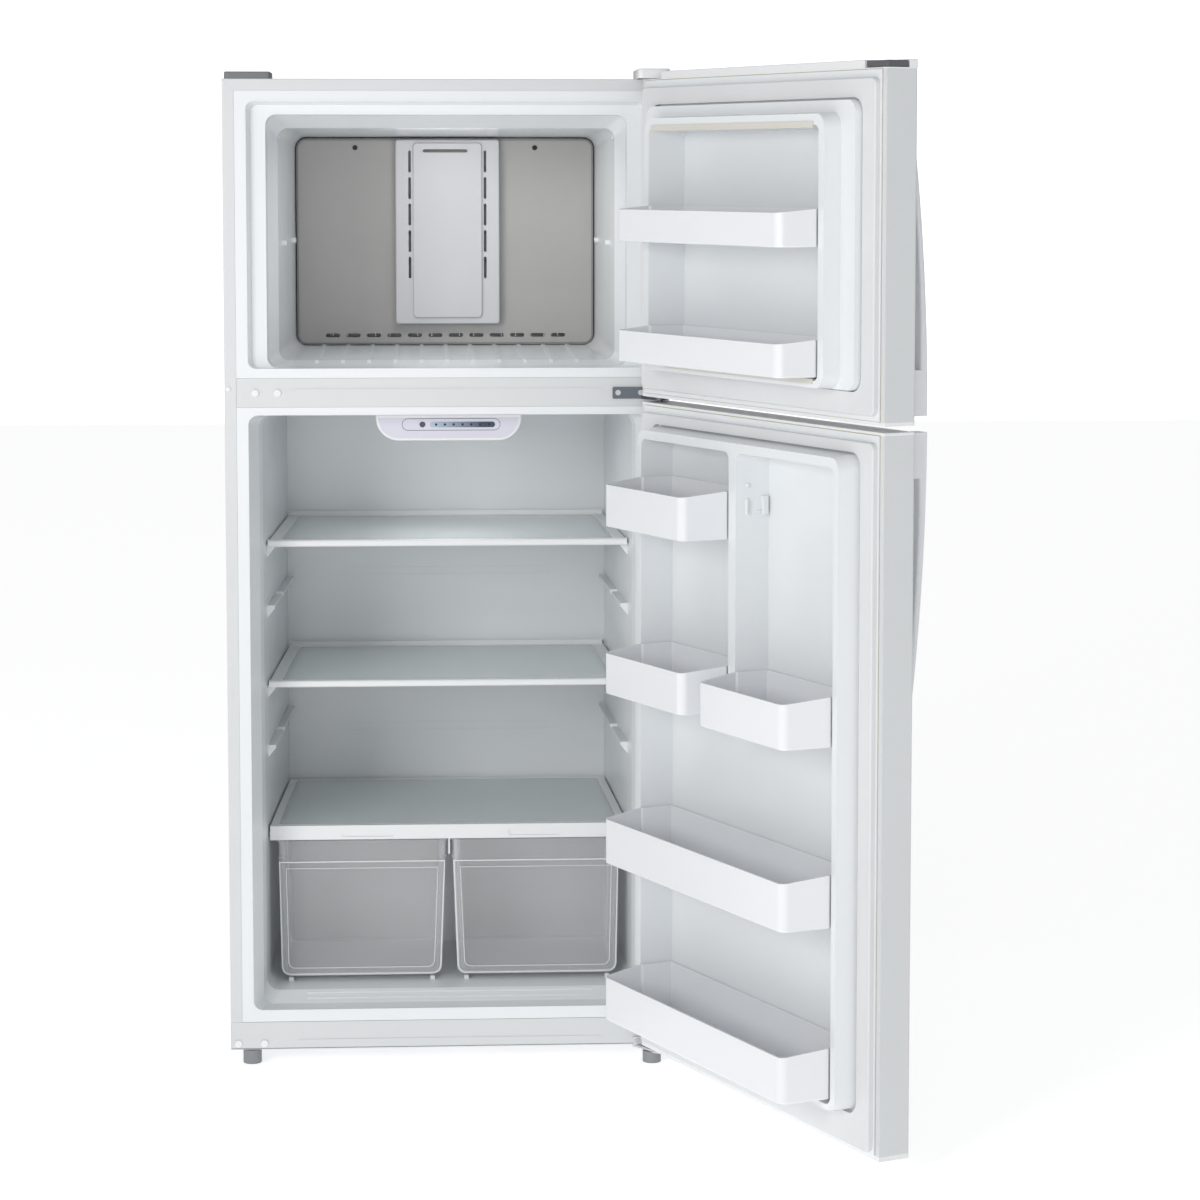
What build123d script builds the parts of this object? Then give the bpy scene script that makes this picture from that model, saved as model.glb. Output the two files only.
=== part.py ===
"""Refrigerator with the freezer on top and both doors standing open.

The origin is on the floor under the middle of the cabinet.  +X is to the right of a person who
faces the doors, -Y points at that person and +Z is up.  Places on the cabinet are given as x,
depth and z, where depth is measured back from the cabinet's front face.  Places on a door are
given in the same way for the door when it is shut, and the door's own frame turns them open.
"""

import os

from build123d import *

os.makedirs("parts", exist_ok=True)

# ---------------------------------------------------------------- driving dimensions, mm
case_width = 760.0
case_depth = 640.0
case_bottom = 26.0
case_top = 1700.0
sheet = 1.0
flange = 20.0
liner_wall = 2.2
clearance = 0.3

toe_rail_top = 74.2
mullion_bottom = 1142.6
mullion_top = 1192.0

door_gap = 12.0
door_thickness = 55.0
door_angle = 114.7
hinge_x = 361.4
hinge_depth = -36.0
hinge_pin = 5.0
running_gap = 0.06

freezer_door_bottom = 1162.0
freezer_door_top = 1699.0
fridge_door_bottom = 33.0
fridge_door_top = 1152.0
cap_thickness = 5.5

shelf_front = 122.0
shelf_back = 572.0
upper_shelf_z = 890.0
lower_shelf_z = 641.5
spare_shelf_heights = (783.0, 535.0)
crisper_cover_z = 380.0
crisper_bottom = 120.0
crisper_top = 366.0

machine_front = 455.0
machine_top = 286.0

half_case = case_width / 2
door_back = -door_gap
door_front = -door_gap - door_thickness
front_y = -case_depth / 2


# ---------------------------------------------------------------- frames and small builders
case = Plane(origin=(0, front_y, 0))
hinge_line = Vector(hinge_x, front_y + hinge_depth, 0)
door_origin = hinge_line + (Vector(0, front_y, 0) - hinge_line).rotate(Axis.Z, door_angle)
door = Plane(origin=door_origin, x_dir=Vector(1, 0, 0).rotate(Axis.Z, door_angle), z_dir=(0, 0, 1))


def level(base, z):
    """Level plane at a height, drawn in x and depth."""
    return Plane(origin=base.from_local_coords((0, 0, z)), x_dir=base.x_dir, z_dir=(0, 0, 1))


def face(base, depth):
    """Upright plane that looks at the user, drawn in x and z.  Extruding forward is positive."""
    return Plane(origin=base.from_local_coords((0, depth, 0)), x_dir=base.x_dir, z_dir=-base.y_dir)


def section(base, x):
    """Upright plane across the object, drawn in depth and z.  Extruding towards +x is positive."""
    return Plane(origin=base.from_local_coords((x, 0, 0)), x_dir=base.y_dir, z_dir=base.x_dir)


def block(base, x_range, depth_range, z_range, mode=Mode.ADD, corner=0):
    """Straight block between two places in x, depth and z, with its upright edges rounded."""
    width, length = x_range[1] - x_range[0], depth_range[1] - depth_range[0]
    with BuildSketch(level(base, z_range[0])) as outline:
        with Locations((sum(x_range) / 2, sum(depth_range) / 2)):
            if corner:
                RectangleRounded(width, length, corner)
            else:
                Rectangle(width, length)
    extrude(outline.sketch, amount=z_range[1] - z_range[0], mode=mode)


def upright_plate(base, x_range, z_range, depth_range, mode=Mode.ADD, corner=0):
    """Block that is drawn from the front, so that its corners are rounded in elevation."""
    width, height = x_range[1] - x_range[0], z_range[1] - z_range[0]
    with BuildSketch(face(base, depth_range[0])) as outline:
        with Locations((sum(x_range) / 2, sum(z_range) / 2)):
            if corner:
                RectangleRounded(width, height, corner)
            else:
                Rectangle(width, height)
    extrude(outline.sketch, amount=depth_range[0] - depth_range[1], mode=mode)


def post(base, x, depth, z_range, radius, mode=Mode.ADD):
    """Upright round post."""
    with BuildSketch(level(base, z_range[0])) as outline:
        with Locations((x, depth)):
            Circle(radius)
    extrude(outline.sketch, amount=z_range[1] - z_range[0], mode=mode)


def stud(base, x, z, depth_range, radius, mode=Mode.ADD):
    """Round stud that runs from front to back."""
    with BuildSketch(face(base, depth_range[0])) as outline:
        with Locations((x, z)):
            Circle(radius)
    extrude(outline.sketch, amount=depth_range[0] - depth_range[1], mode=mode)


def cross_rod(base, x_range, depth, z, radius, mode=Mode.ADD):
    """Round rod that runs across the object."""
    with BuildSketch(section(base, x_range[0])) as outline:
        with Locations((depth, z)):
            Circle(radius)
    extrude(outline.sketch, amount=x_range[1] - x_range[0], mode=mode)


def frame_outline(base, frame, grow=0, deeper=0):
    """Rounded outline of a (depth, half width, bottom, top, corner) frame."""
    depth, half, bottom, top, corner = frame
    with BuildSketch(face(base, depth + deeper)) as outline:
        with Locations((0, (bottom + top) / 2)):
            RectangleRounded(2 * (half + grow), top - bottom + 2 * grow, corner + grow)
    return outline.sketch


def stage(base, near, far, grow=0, deeper=0, mode=Mode.ADD):
    """Tapering block between two frames, grown outwards and made deeper by a wall."""
    loft([frame_outline(base, near, grow), frame_outline(base, far, grow, deeper)], mode=mode)


# ---------------------------------------------------------------- cavities of the cabinet
# Each frame is depth, half width, bottom, top and corner radius.
freezer_mouth = (0, 340, 1208.5, 1662.5, 14)
freezer_step = (20, 333, 1209, 1656, 12)
freezer_rim = (20, 308, 1209, 1640, 18)
freezer_rim_back = (45, 306, 1211, 1638.5, 18)
freezer_throat = (100, 291, 1217, 1618, 18)
freezer_back = (550, 275, 1222, 1605, 22)
freezer_stages = (
    (freezer_mouth, freezer_step, True),
    (freezer_rim, freezer_rim_back, False),
    (freezer_rim_back, freezer_throat, False),
    (freezer_throat, freezer_back, True),
)

hump_depth = 412.0
hump_top = 335.0
fridge_mouth = (0, 340, 95.5, 1128.8, 16)
fridge_sill = (42, 324, 96, 1126, 20)
fridge_throat = (72, 320, 113, 1125.2, 22)
fridge_back = (585, 299.7, 117, 1122, 24)
fridge_stages = (
    (fridge_mouth, fridge_sill, False),
    (fridge_sill, fridge_throat, False),
    (fridge_throat, fridge_back, True),
)


def compartment(stages, wall=0.0, hump=None):
    """The space inside a compartment, or with a wall's thickness the outside of its liner."""
    with BuildPart() as space:
        for near, far, has_back in stages:
            stage(case, near, far, wall, wall if has_back else 0)
    if hump is None:
        return space.part
    # The raised step at the back leaves room below for the machine compartment.
    step_depth, step_top = hump
    with BuildPart() as rear_step:
        block(case, (-350, 350), (step_depth + wall, 700), (0, step_top - wall))
        front_fold = rear_step.edges().filter_by(Axis.X).sort_by(Axis.Z)[-2:].sort_by(Axis.Y)[:1]
        fillet(front_fold, 14 - wall)
    with BuildPart() as stepped:
        add(space.part)
        add(rear_step.part, mode=Mode.SUBTRACT)
    return stepped.part


def fridge_wall(depth):
    """Half width between the fridge compartment's side walls at a depth."""
    slope = (fridge_back[1] - fridge_throat[1]) / (fridge_back[0] - fridge_throat[0])
    return fridge_throat[1] + slope * (depth - fridge_throat[0])


def freezer_wall(depth):
    """Half width between the freezer compartment's side walls at a depth."""
    slope = (freezer_back[1] - freezer_throat[1]) / (freezer_back[0] - freezer_throat[0])
    return freezer_throat[1] + slope * (depth - freezer_throat[0])


# ---------------------------------------------------------------- cabinet shell
# One sheet is folded over both sides and the top, with a flange turned in round the front.
with BuildPart() as outer_cabinet:
    upright_plate(case, (-half_case, half_case), (case_bottom, case_top), (0, case_depth - sheet))
    block(
        case,
        (-half_case + sheet, half_case - sheet),
        (sheet, case_depth),
        (case_bottom, case_top - sheet),
        Mode.SUBTRACT,
    )
    block(
        case,
        (-half_case + flange, half_case - flange),
        (0, sheet),
        (case_bottom, case_top - flange),
        Mode.SUBTRACT,
    )
    block(
        case,
        (-half_case + sheet, half_case - sheet),
        (0, sheet),
        (case_bottom, toe_rail_top + clearance),
        Mode.SUBTRACT,
    )
    front_edges = outer_cabinet.edges().filter_by_position(Axis.Y, front_y - 0.1, front_y + 0.1)
    side_folds = front_edges.filter_by_position(Axis.X, -half_case - 0.1, -half_case + 0.1)
    side_folds += front_edges.filter_by_position(Axis.X, half_case - 0.1, half_case + 0.1)
    top_fold = front_edges.filter_by_position(Axis.Z, case_top - 0.1, case_top + 0.1)
    fillet(side_folds + top_fold, 1.5 * sheet)
    # The mitre between the side and top flanges shows as a fine line in each top corner.
    for side in (-1, 1):
        with BuildSketch(face(case, 0)) as mitre:
            with Locations((side * (half_case - flange / 2), case_top - flange / 2)):
                Rectangle(1.45 * flange, 0.7, rotation=side * 45)
        extrude(mitre.sketch, amount=-0.4, mode=Mode.SUBTRACT)
outer_cabinet.part.label = "outer_cabinet"
export_step(outer_cabinet.part, "parts/outer_cabinet.step")

# The back is one flat sheet, stiffened by long stamped beads.
with BuildPart() as rear_panel:
    block(
        case,
        (-half_case, half_case),
        (case_depth - sheet, case_depth),
        (machine_top + 2, case_top),
    )
    for bead_z in (460, 760, 1060, 1360):
        with BuildSketch(face(case, case_depth)) as bead:
            with Locations((0, bead_z)):
                SlotOverall(600, 22)
        extrude(bead.sketch, amount=-1.2)
rear_panel.part.label = "rear_panel"
export_step(rear_panel.part, "parts/rear_panel.step")

# The steel base carries the compressor and the rear rollers, and its raised rear step walls
# the machine compartment off from the foam.
roller_x = 330.0
roller_depth = 600.0
roller_radius = 16.0
roller_width = 14.0
roller_pin = 3.0
foot_x = -343.5
foot_depth = 16.0
foot_stem = 4.0
foot_radius = 16.0
base_sheet = 1.2
compressor_x = 205.0
compressor_depth = 548.0
grommet_spacing = (150.0, 84.0)
base_half = half_case - sheet - 0.2

with BuildPart() as base_pan:
    with BuildSketch(section(case, -base_half)) as pan_profile:
        with BuildLine():
            Polyline(
                (1.6, case_bottom),
                (case_depth - 3, case_bottom),
                (case_depth - 3, case_bottom + base_sheet),
                (machine_front + base_sheet, case_bottom + base_sheet),
                (machine_front + base_sheet, machine_top - 46),
                (machine_front + 30, machine_top - base_sheet),
                (case_depth - 3, machine_top - base_sheet),
                (case_depth - 3, machine_top),
                (machine_front + 29, machine_top),
                (machine_front, machine_top - 45),
                (machine_front, case_bottom + base_sheet),
                (1.6, case_bottom + base_sheet),
                close=True,
            )
        make_face()
    extrude(pan_profile.sketch, amount=2 * base_half)
    for side in (-1, 1):
        x = side * roller_x
        slot_half = roller_width / 2 + 2
        block(
            case,
            (x - slot_half, x + slot_half),
            (roller_depth - 22, roller_depth + 22),
            (case_bottom, case_bottom + base_sheet),
            Mode.SUBTRACT,
        )
        for ear in (-1, 1):
            ear_x = x + ear * (slot_half + 1)
            with BuildSketch(section(case, ear_x - 1)) as ear_plate:
                with Locations((roller_depth, roller_radius)):
                    Circle(8)
                with Locations((roller_depth, (roller_radius + case_bottom) / 2 + 1)):
                    Rectangle(16, case_bottom - roller_radius + 1)
            extrude(ear_plate.sketch, amount=2)
        cross_rod(case, (x - slot_half - 3, x + slot_half + 3), roller_depth, roller_radius, roller_pin)
    post(case, foot_x, foot_depth, (case_bottom, case_bottom + 2), foot_stem + 0.1, Mode.SUBTRACT)
base_pan.part.label = "base_pan"
export_step(base_pan.part, "parts/base_pan.step")

# Foam fills everything between the steel and the two liners.
rail_depth = 18.0
with BuildPart() as cabinet_foam:
    block(
        case,
        (-half_case + sheet, half_case - sheet),
        (rail_depth + 1, case_depth - sheet),
        (case_bottom + 2 * base_sheet, case_top - sheet),
    )
    with BuildSketch(section(case, -half_case)) as machine_space:
        with BuildLine():
            Polyline(
                (machine_front - 0.2, case_bottom),
                (machine_front - 0.2, machine_top - 44.8),
                (machine_front + 28.7, machine_top + 0.2),
                (case_depth, machine_top + 0.2),
                (case_depth, case_bottom),
                close=True,
            )
        make_face()
    extrude(machine_space.sketch, amount=case_width, mode=Mode.SUBTRACT)
    add(compartment(freezer_stages, liner_wall), mode=Mode.SUBTRACT)
    add(compartment(fridge_stages, liner_wall, (hump_depth, hump_top)), mode=Mode.SUBTRACT)
    post(case, foot_x, foot_depth, (case_bottom, case_bottom + 30), foot_radius, Mode.SUBTRACT)
cabinet_foam.part.label = "cabinet_foam"
export_step(cabinet_foam.part, "parts/cabinet_foam.step")

# ---------------------------------------------------------------- freezer liner
panel_depth = 497.0
panel_screws = ((-166.0, 1587.0), (166.0, 1587.0))
floor_rib_pitch = 45.0

with BuildPart() as freezer_liner:
    # The flange lies level with the steel flange and has a tongue that tucks in behind it.
    upright_plate(
        case,
        (-half_case + flange + clearance, half_case - flange - clearance),
        (mullion_top + clearance, case_top - flange - clearance),
        (0.3, 3.5),
    )
    upright_plate(
        case,
        (-half_case + sheet + 1, half_case - sheet - 1),
        (mullion_top + clearance, case_top - sheet - 1),
        (1.2, 3.5),
    )
    add(compartment(freezer_stages, liner_wall))
    add(compartment(freezer_stages), mode=Mode.SUBTRACT)
    # A chamfer softens the edge of the mouth.
    with BuildSketch(face(case, 0.2)) as mouth_edge:
        with Locations((0, (freezer_mouth[2] + freezer_mouth[3]) / 2)):
            RectangleRounded(
                2 * freezer_mouth[1] + 4, freezer_mouth[3] - freezer_mouth[2] + 4, freezer_mouth[4] + 2
            )
    loft([mouth_edge.sketch, frame_outline(case, freezer_mouth, -0.4, 2.6)], mode=Mode.SUBTRACT)
    # Ribs along the floor keep food off the frost.
    for count in range(-5, 6):
        with BuildSketch(section(case, count * floor_rib_pitch - 3.5)) as rib_profile:
            with BuildLine():
                Polyline((66, 1212.8), (84, 1218.6), (551, 1224), (551, 1221), (100, 1216), close=True)
            make_face()
        extrude(rib_profile.sketch, amount=7)
    # Posts on the back wall take the screws of the rear panel, and nubs take a wire shelf.
    for x, z in panel_screws:
        stud(case, x, z, (panel_depth + 3, freezer_back[0] + 1), 6)
        stud(case, x, z, (panel_depth + 2, panel_depth + 16), 1.9, Mode.SUBTRACT)
    for side in (-1, 1):
        for depth in (200, 420):
            wall = freezer_wall(depth)
            with BuildSketch(section(case, side * (wall - 7))) as nub:
                with Locations((depth, 1418)):
                    Circle(5)
            extrude(nub.sketch, amount=side * 8)
        wall = freezer_wall(140)
        with BuildSketch(section(case, side * (wall - 1.5))) as dimple:
            with Locations((140, 1604)):
                Circle(4.5)
        extrude(dimple.sketch, amount=side * 2)
freezer_liner.part.label = "freezer_liner"
export_step(freezer_liner.part, "parts/freezer_liner.step")

# ---------------------------------------------------------------- fridge liner
ledge_reach = 13.0
ledge_heights = (upper_shelf_z - clearance, lower_shelf_z - clearance) + spare_shelf_heights
ledge_spans = ((142.0, 300.0), (330.0, 562.0))
pill_bead = (396.0, 17.0)


def ledge_outline(side, span, reach, z):
    """Outline of one wall ledge that follows the wall's taper."""
    near, far = span
    with BuildSketch(level(case, z)) as outline:
        with BuildLine():
            Polyline(
                (side * (fridge_wall(near) + 1), near),
                (side * (fridge_wall(far) + 1), far),
                (side * (fridge_wall(far) - reach), far),
                (side * (fridge_wall(near) - reach), near),
                close=True,
            )
        make_face()
    return outline.sketch


with BuildPart() as fridge_liner:
    upright_plate(
        case,
        (-half_case + flange + clearance, half_case - flange - clearance),
        (toe_rail_top + 2 * clearance, mullion_bottom - clearance),
        (0.3, 3.5),
    )
    upright_plate(
        case,
        (-half_case + sheet + 1, half_case - sheet - 1),
        (toe_rail_top + 2 * clearance, mullion_bottom - clearance),
        (1.2, 3.5),
    )
    add(compartment(fridge_stages, liner_wall, (hump_depth, hump_top)))
    add(compartment(fridge_stages, 0, (hump_depth, hump_top)), mode=Mode.SUBTRACT)
    with BuildSketch(face(case, 0.2)) as mouth_edge:
        with Locations((0, (fridge_mouth[2] + fridge_mouth[3]) / 2)):
            RectangleRounded(
                2 * fridge_mouth[1] + 4, fridge_mouth[3] - fridge_mouth[2] + 4, fridge_mouth[4] + 2
            )
    loft([mouth_edge.sketch, frame_outline(case, fridge_mouth, -1.6, 2.6)], mode=Mode.SUBTRACT)
    # Two ledges on each wall at each shelf height, with sloping undersides.
    for side in (-1, 1):
        for z in ledge_heights:
            for span in ledge_spans:
                top = ledge_outline(side, span, ledge_reach, z)
                extrude(top, amount=-5)
                shoulder = ledge_outline(side, span, ledge_reach, z - 5)
                foot = ledge_outline(side, span, 1, z - 20)
                loft([shoulder, foot])
        # The rear ledge turns up at its back end and stops the shelf.
        for span in ledge_spans:
            top = ledge_outline(side, span, ledge_reach, crisper_cover_z - clearance)
            extrude(top, amount=-6)
    # Long beads stiffen the back wall and the sloping sill.
    for z in (788, 490):
        with BuildSketch(face(case, fridge_back[0])) as bead:
            with Locations((0, z)):
                SlotOverall(*pill_bead)
        extrude(bead.sketch, amount=0.9)
        with BuildSketch(face(case, fridge_back[0] - 0.9)) as hollow:
            with Locations((0, z)):
                SlotOverall(pill_bead[0] - 6, pill_bead[1] - 6)
        extrude(hollow.sketch, amount=-1.2, mode=Mode.SUBTRACT)
    for share in (0.35, 0.75):
        sill_depth = fridge_sill[0] + share * (fridge_throat[0] - fridge_sill[0])
        sill_z = fridge_sill[2] + share * (fridge_throat[2] - fridge_sill[2])
        cross_rod(case, (-250, 250), sill_depth, sill_z + 0.3, 2.0)
    # Runners under the drawers.
    runner_top = crisper_bottom - clearance
    for x in (-280, -30, 30, 280):
        with BuildSketch(section(case, x - 4)) as runner:
            with BuildLine():
                Polyline((130, 112.6), (400, 114.7), (400, runner_top), (130, runner_top), close=True)
            make_face()
        extrude(runner.sketch, amount=8)
fridge_liner.part.label = "fridge_liner"
export_step(fridge_liner.part, "parts/fridge_liner.step")

# ---------------------------------------------------------------- rails, plugs and caps
mullion_plugs = ((-328.0, 1167.0), (-290.0, 1167.0))
toe_plugs = ((-366.5, 36.8), (-321.8, 36.8))
flange_plug = (-373.5, 1174.0)
plug_radius = 6.6
plug_stem = 4.6
hinge_screw_x = (291.4, 330.4)
hinge_screw_z = 1166.0
bottom_screws = ((326.5, 33.0), (338.5, 33.0))
screw_shank = 2.4
bead_length = 532.0

with BuildPart() as mullion_rail:
    rail_half = half_case - flange - clearance
    upright_plate(case, (-rail_half, rail_half), (mullion_bottom, mullion_top), (0.2, 1.4))
    for z in (mullion_bottom, mullion_top - 1.2):
        block(case, (-rail_half, rail_half), (3.8, rail_depth), (z, z + 1.2))
        block(case, (-rail_half, rail_half), (1.4, 3.8), (z, z + 1.2))
    with BuildSketch(face(case, 0.2)) as bead:
        with Locations((0, 1166.5)):
            SlotOverall(bead_length, 15)
    extrude(bead.sketch, amount=0.9)
    for x, z in mullion_plugs:
        stud(case, x, z, (-1, 2), plug_stem + 0.1, Mode.SUBTRACT)
    for x in hinge_screw_x:
        stud(case, x, hinge_screw_z, (-1, 2), screw_shank + 0.1, Mode.SUBTRACT)
mullion_rail.part.label = "mullion_rail"
export_step(mullion_rail.part, "parts/mullion_rail.step")

with BuildPart() as toe_rail:
    toe_half = half_case - sheet - 0.1
    upright_plate(case, (-toe_half, toe_half), (case_bottom + 2 * base_sheet, toe_rail_top), (0.2, 1.4))
    for z in (case_bottom + 2 * base_sheet, toe_rail_top - 1.2):
        block(case, (-toe_half, toe_half), (1.4, rail_depth), (z, z + 1.2))
    with BuildSketch(face(case, 0.2)) as bead:
        with Locations((0, 37)):
            SlotOverall(bead_length, 12)
    extrude(bead.sketch, amount=0.9)
    for x, z in toe_plugs:
        stud(case, x, z, (-1, 2), plug_stem + 0.1, Mode.SUBTRACT)
    for x, z in bottom_screws:
        stud(case, x, z, (-1, 2), screw_shank + 0.1, Mode.SUBTRACT)
    post(case, foot_x, foot_depth, (case_bottom, case_bottom + 5), foot_stem + 1, Mode.SUBTRACT)
toe_rail.part.label = "toe_rail"
export_step(toe_rail.part, "parts/toe_rail.step")

# Domed plugs fill the hinge holes that the right-hand doors leave unused.
with BuildPart() as screw_plugs:
    for x, z in mullion_plugs + toe_plugs:
        stud(case, x, z, (-2.6, 0.2), plug_radius)
        stud(case, x, z, (0.2, 8), plug_stem)
    stud(case, *flange_plug, (-1.6, 0), 4.4)
    domes = screw_plugs.edges().filter_by(GeomType.CIRCLE).filter_by_position(
        Axis.Y, front_y - 3, front_y - 1.5
    )
    fillet(domes, 1.5)
screw_plugs.part.label = "screw_plugs"
export_step(screw_plugs.part, "parts/screw_plugs.step")

# A low cap hides the spare hinge holes on top of the left side.
with BuildPart() as spare_hinge_cap:
    block(case, (-376, -298), (1.8, 92), (case_top, case_top + 12), corner=5)
    top_edges = spare_hinge_cap.faces().sort_by(Axis.Z)[-1].edges()
    fillet(top_edges, 2)
    block(case, (-374, -300), (3.8, 90), (case_top, case_top + 9.5), Mode.SUBTRACT, corner=3)
spare_hinge_cap.part.label = "spare_hinge_cap"
export_step(spare_hinge_cap.part, "parts/spare_hinge_cap.step")

# ---------------------------------------------------------------- hinges
nose_radius = 13.0


def hinge_leaf(z_range, back, left=325.0):
    """Flat hinge leaf with a round nose about the hinge pin."""
    with BuildSketch(level(case, z_range[0])) as leaf:
        with BuildLine():
            Polyline(
                (left, back),
                (374, back),
                (hinge_x + nose_radius, hinge_depth),
                (hinge_x - nose_radius, hinge_depth),
                (left, min(back, 12) - 8),
                close=True,
            )
        make_face()
        with Locations((hinge_x, hinge_depth)):
            Circle(nose_radius)
    extrude(leaf.sketch, amount=z_range[1] - z_range[0])


top_leaf = (case_top, case_top + 3.2)
top_screws = ((340.0, 30.0), (340.0, 60.0))
with BuildPart() as top_hinge:
    hinge_leaf(top_leaf, 75)
    post(case, hinge_x, hinge_depth, (case_top - 14, case_top), hinge_pin)
    for x, depth in top_screws:
        post(case, x, depth, top_leaf, screw_shank + 0.1, Mode.SUBTRACT)
top_hinge.part.label = "top_hinge"
export_step(top_hinge.part, "parts/top_hinge.step")

with BuildPart() as hinge_cover:
    block(case, (322, 376.5), (-54, 84), (case_top, case_top + 16.5), corner=8)
    fillet(hinge_cover.faces().sort_by(Axis.Z)[-1].edges(), 2.5)
    block(case, (323.8, 374.9), (-52.2, 82.2), (case_top, case_top + 14.5), Mode.SUBTRACT, corner=6)
hinge_cover.part.label = "hinge_cover"
export_step(hinge_cover.part, "parts/hinge_cover.step")

centre_leaf = (1155.5, 1159.5)
with BuildPart() as centre_hinge:
    upright_plate(case, (282, 374), (centre_leaf[0], 1175.5), (-3, 0), corner=2)
    hinge_leaf(centre_leaf, -2.5, 331)
    post(case, hinge_x, hinge_depth, (centre_leaf[0] - 15, centre_leaf[1] + 15), hinge_pin)
    for x in hinge_screw_x:
        stud(case, x, hinge_screw_z, (-3, 0), screw_shank + 0.1, Mode.SUBTRACT)
centre_hinge.part.label = "centre_hinge"
export_step(centre_hinge.part, "parts/centre_hinge.step")

right_foot_x = 350.0
right_foot_depth = -16.0
bottom_leaf = (case_bottom - 4, case_bottom)
with BuildPart() as bottom_hinge:
    hinge_leaf(bottom_leaf, 70, 318)
    upright_plate(case, (318, 346), (bottom_leaf[0], 40), (-3, -0.1))
    post(case, hinge_x, hinge_depth, (bottom_leaf[0], fridge_door_bottom + 14), hinge_pin)
    post(case, hinge_x, hinge_depth, (bottom_leaf[1], fridge_door_bottom - 1), hinge_pin + 3)
    post(case, right_foot_x, right_foot_depth, bottom_leaf, foot_stem + 0.1, Mode.SUBTRACT)
    for x, z in bottom_screws:
        stud(case, x, z, (-3, 0), screw_shank + 0.1, Mode.SUBTRACT)
bottom_hinge.part.label = "bottom_hinge"
export_step(bottom_hinge.part, "parts/bottom_hinge.step")

# Pan-head screws with cross recesses hold the hinges and the freezer's rear panel.
screw_head = 4.6
with BuildPart() as screws:
    front_screws = [(x, hinge_screw_z, -3.0, 12.0) for x in hinge_screw_x]
    front_screws += [(x, z, -3.0, 12.0) for x, z in bottom_screws]
    front_screws += [(x, z, panel_depth, 14.0) for x, z in panel_screws]
    for x, z, seat, length in front_screws:
        shank = 1.8 if seat > 0 else screw_shank
        stud(case, x, z, (seat - 2.4, seat), screw_head)
        stud(case, x, z, (seat, seat + length), shank)
        for turn in (0, 90):
            with BuildSketch(face(case, seat - 2.4)) as recess:
                with Locations((x, z)):
                    Rectangle(5, 1.1, rotation=turn)
            extrude(recess.sketch, amount=-1.3, mode=Mode.SUBTRACT)
    for x, depth in top_screws:
        post(case, x, depth, (top_leaf[1], top_leaf[1] + 2.4), screw_head)
        post(case, x, depth, (case_top - sheet + 1, top_leaf[1]), screw_shank)
screws.part.label = "screws"
export_step(screws.part, "parts/screws.step")

# ---------------------------------------------------------------- feet and rollers
for foot_name, x, depth, top in (
    ("left_foot", foot_x, foot_depth, case_bottom - 1.2),
    ("right_foot", right_foot_x, right_foot_depth, bottom_leaf[0] - 1.2),
):
    with BuildPart() as foot:
        post(case, x, depth, (0, top), foot_radius)
        pad = foot.faces().sort_by(Axis.Z)
        fillet([pad[0].edge(), pad[-1].edge()], 1.5)
        post(case, x, depth, (0, top + 8.5), foot_stem)
    foot.part.label = foot_name
    export_step(foot.part, f"parts/{foot_name}.step")

with BuildPart() as rear_rollers:
    for x in (-roller_x, roller_x):
        cross_rod(
            case, (x - roller_width / 2, x + roller_width / 2), roller_depth, roller_radius, roller_radius
        )
        for face_x, inward in ((x - roller_width / 2, 1), (x + roller_width / 2, -1)):
            with BuildSketch(section(case, face_x)) as dish:
                with Locations((roller_depth, roller_radius)):
                    Circle(12)
                    Circle(6, mode=Mode.SUBTRACT)
            extrude(dish.sketch, amount=inward * 3, mode=Mode.SUBTRACT)
        cross_rod(
            case,
            (x - roller_width, x + roller_width),
            roller_depth,
            roller_radius,
            roller_pin + running_gap,
            Mode.SUBTRACT,
        )
rear_rollers.part.label = "rear_rollers"
export_step(rear_rollers.part, "parts/rear_rollers.step")

# ---------------------------------------------------------------- machine compartment
compressor_radius = 72.0
compressor_base = 42.0
grommet_spots = [
    (compressor_x + i * grommet_spacing[0] / 2, compressor_depth + j * grommet_spacing[1] / 2)
    for i in (-1, 1)
    for j in (-1, 1)
]

with BuildPart() as compressor:
    can_height = (compressor_base + 3, compressor_base + 152)
    post(case, compressor_x, compressor_depth, can_height, compressor_radius)
    fillet(compressor.faces().sort_by(Axis.Z)[-1].edges(), 34)
    fillet(compressor.faces().sort_by(Axis.Z)[0].edges(), 16)
    # The can is hollow round the motor and pump.
    can_inside = (compressor_base + 8, compressor_base + 118)
    post(case, compressor_x, compressor_depth, can_inside, compressor_radius - 7, Mode.SUBTRACT)
    post(case, compressor_x, compressor_depth, can_inside, 42)
    # The weld seam round the can, the mounting plate and the terminal box.
    post(
        case,
        compressor_x,
        compressor_depth,
        (compressor_base + 92, compressor_base + 97),
        compressor_radius + 2.5,
    )
    block(
        case,
        (compressor_x - 88, compressor_x + 88),
        (compressor_depth - 55, compressor_depth + 55),
        (compressor_base, compressor_base + 4),
        corner=14,
    )
    block(
        case,
        (compressor_x - 96, compressor_x - 60),
        (compressor_depth - 20, compressor_depth + 20),
        (compressor_base + 40, compressor_base + 84),
    )
    for depth in (-18, 18):
        post(case, compressor_x + 24, compressor_depth + depth, (170, 226), 4)
    for x, depth in grommet_spots:
        post(case, x, depth, (compressor_base, compressor_base + 4), 5.2, Mode.SUBTRACT)
compressor.part.label = "compressor"
export_step(compressor.part, "parts/compressor.step")

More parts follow.
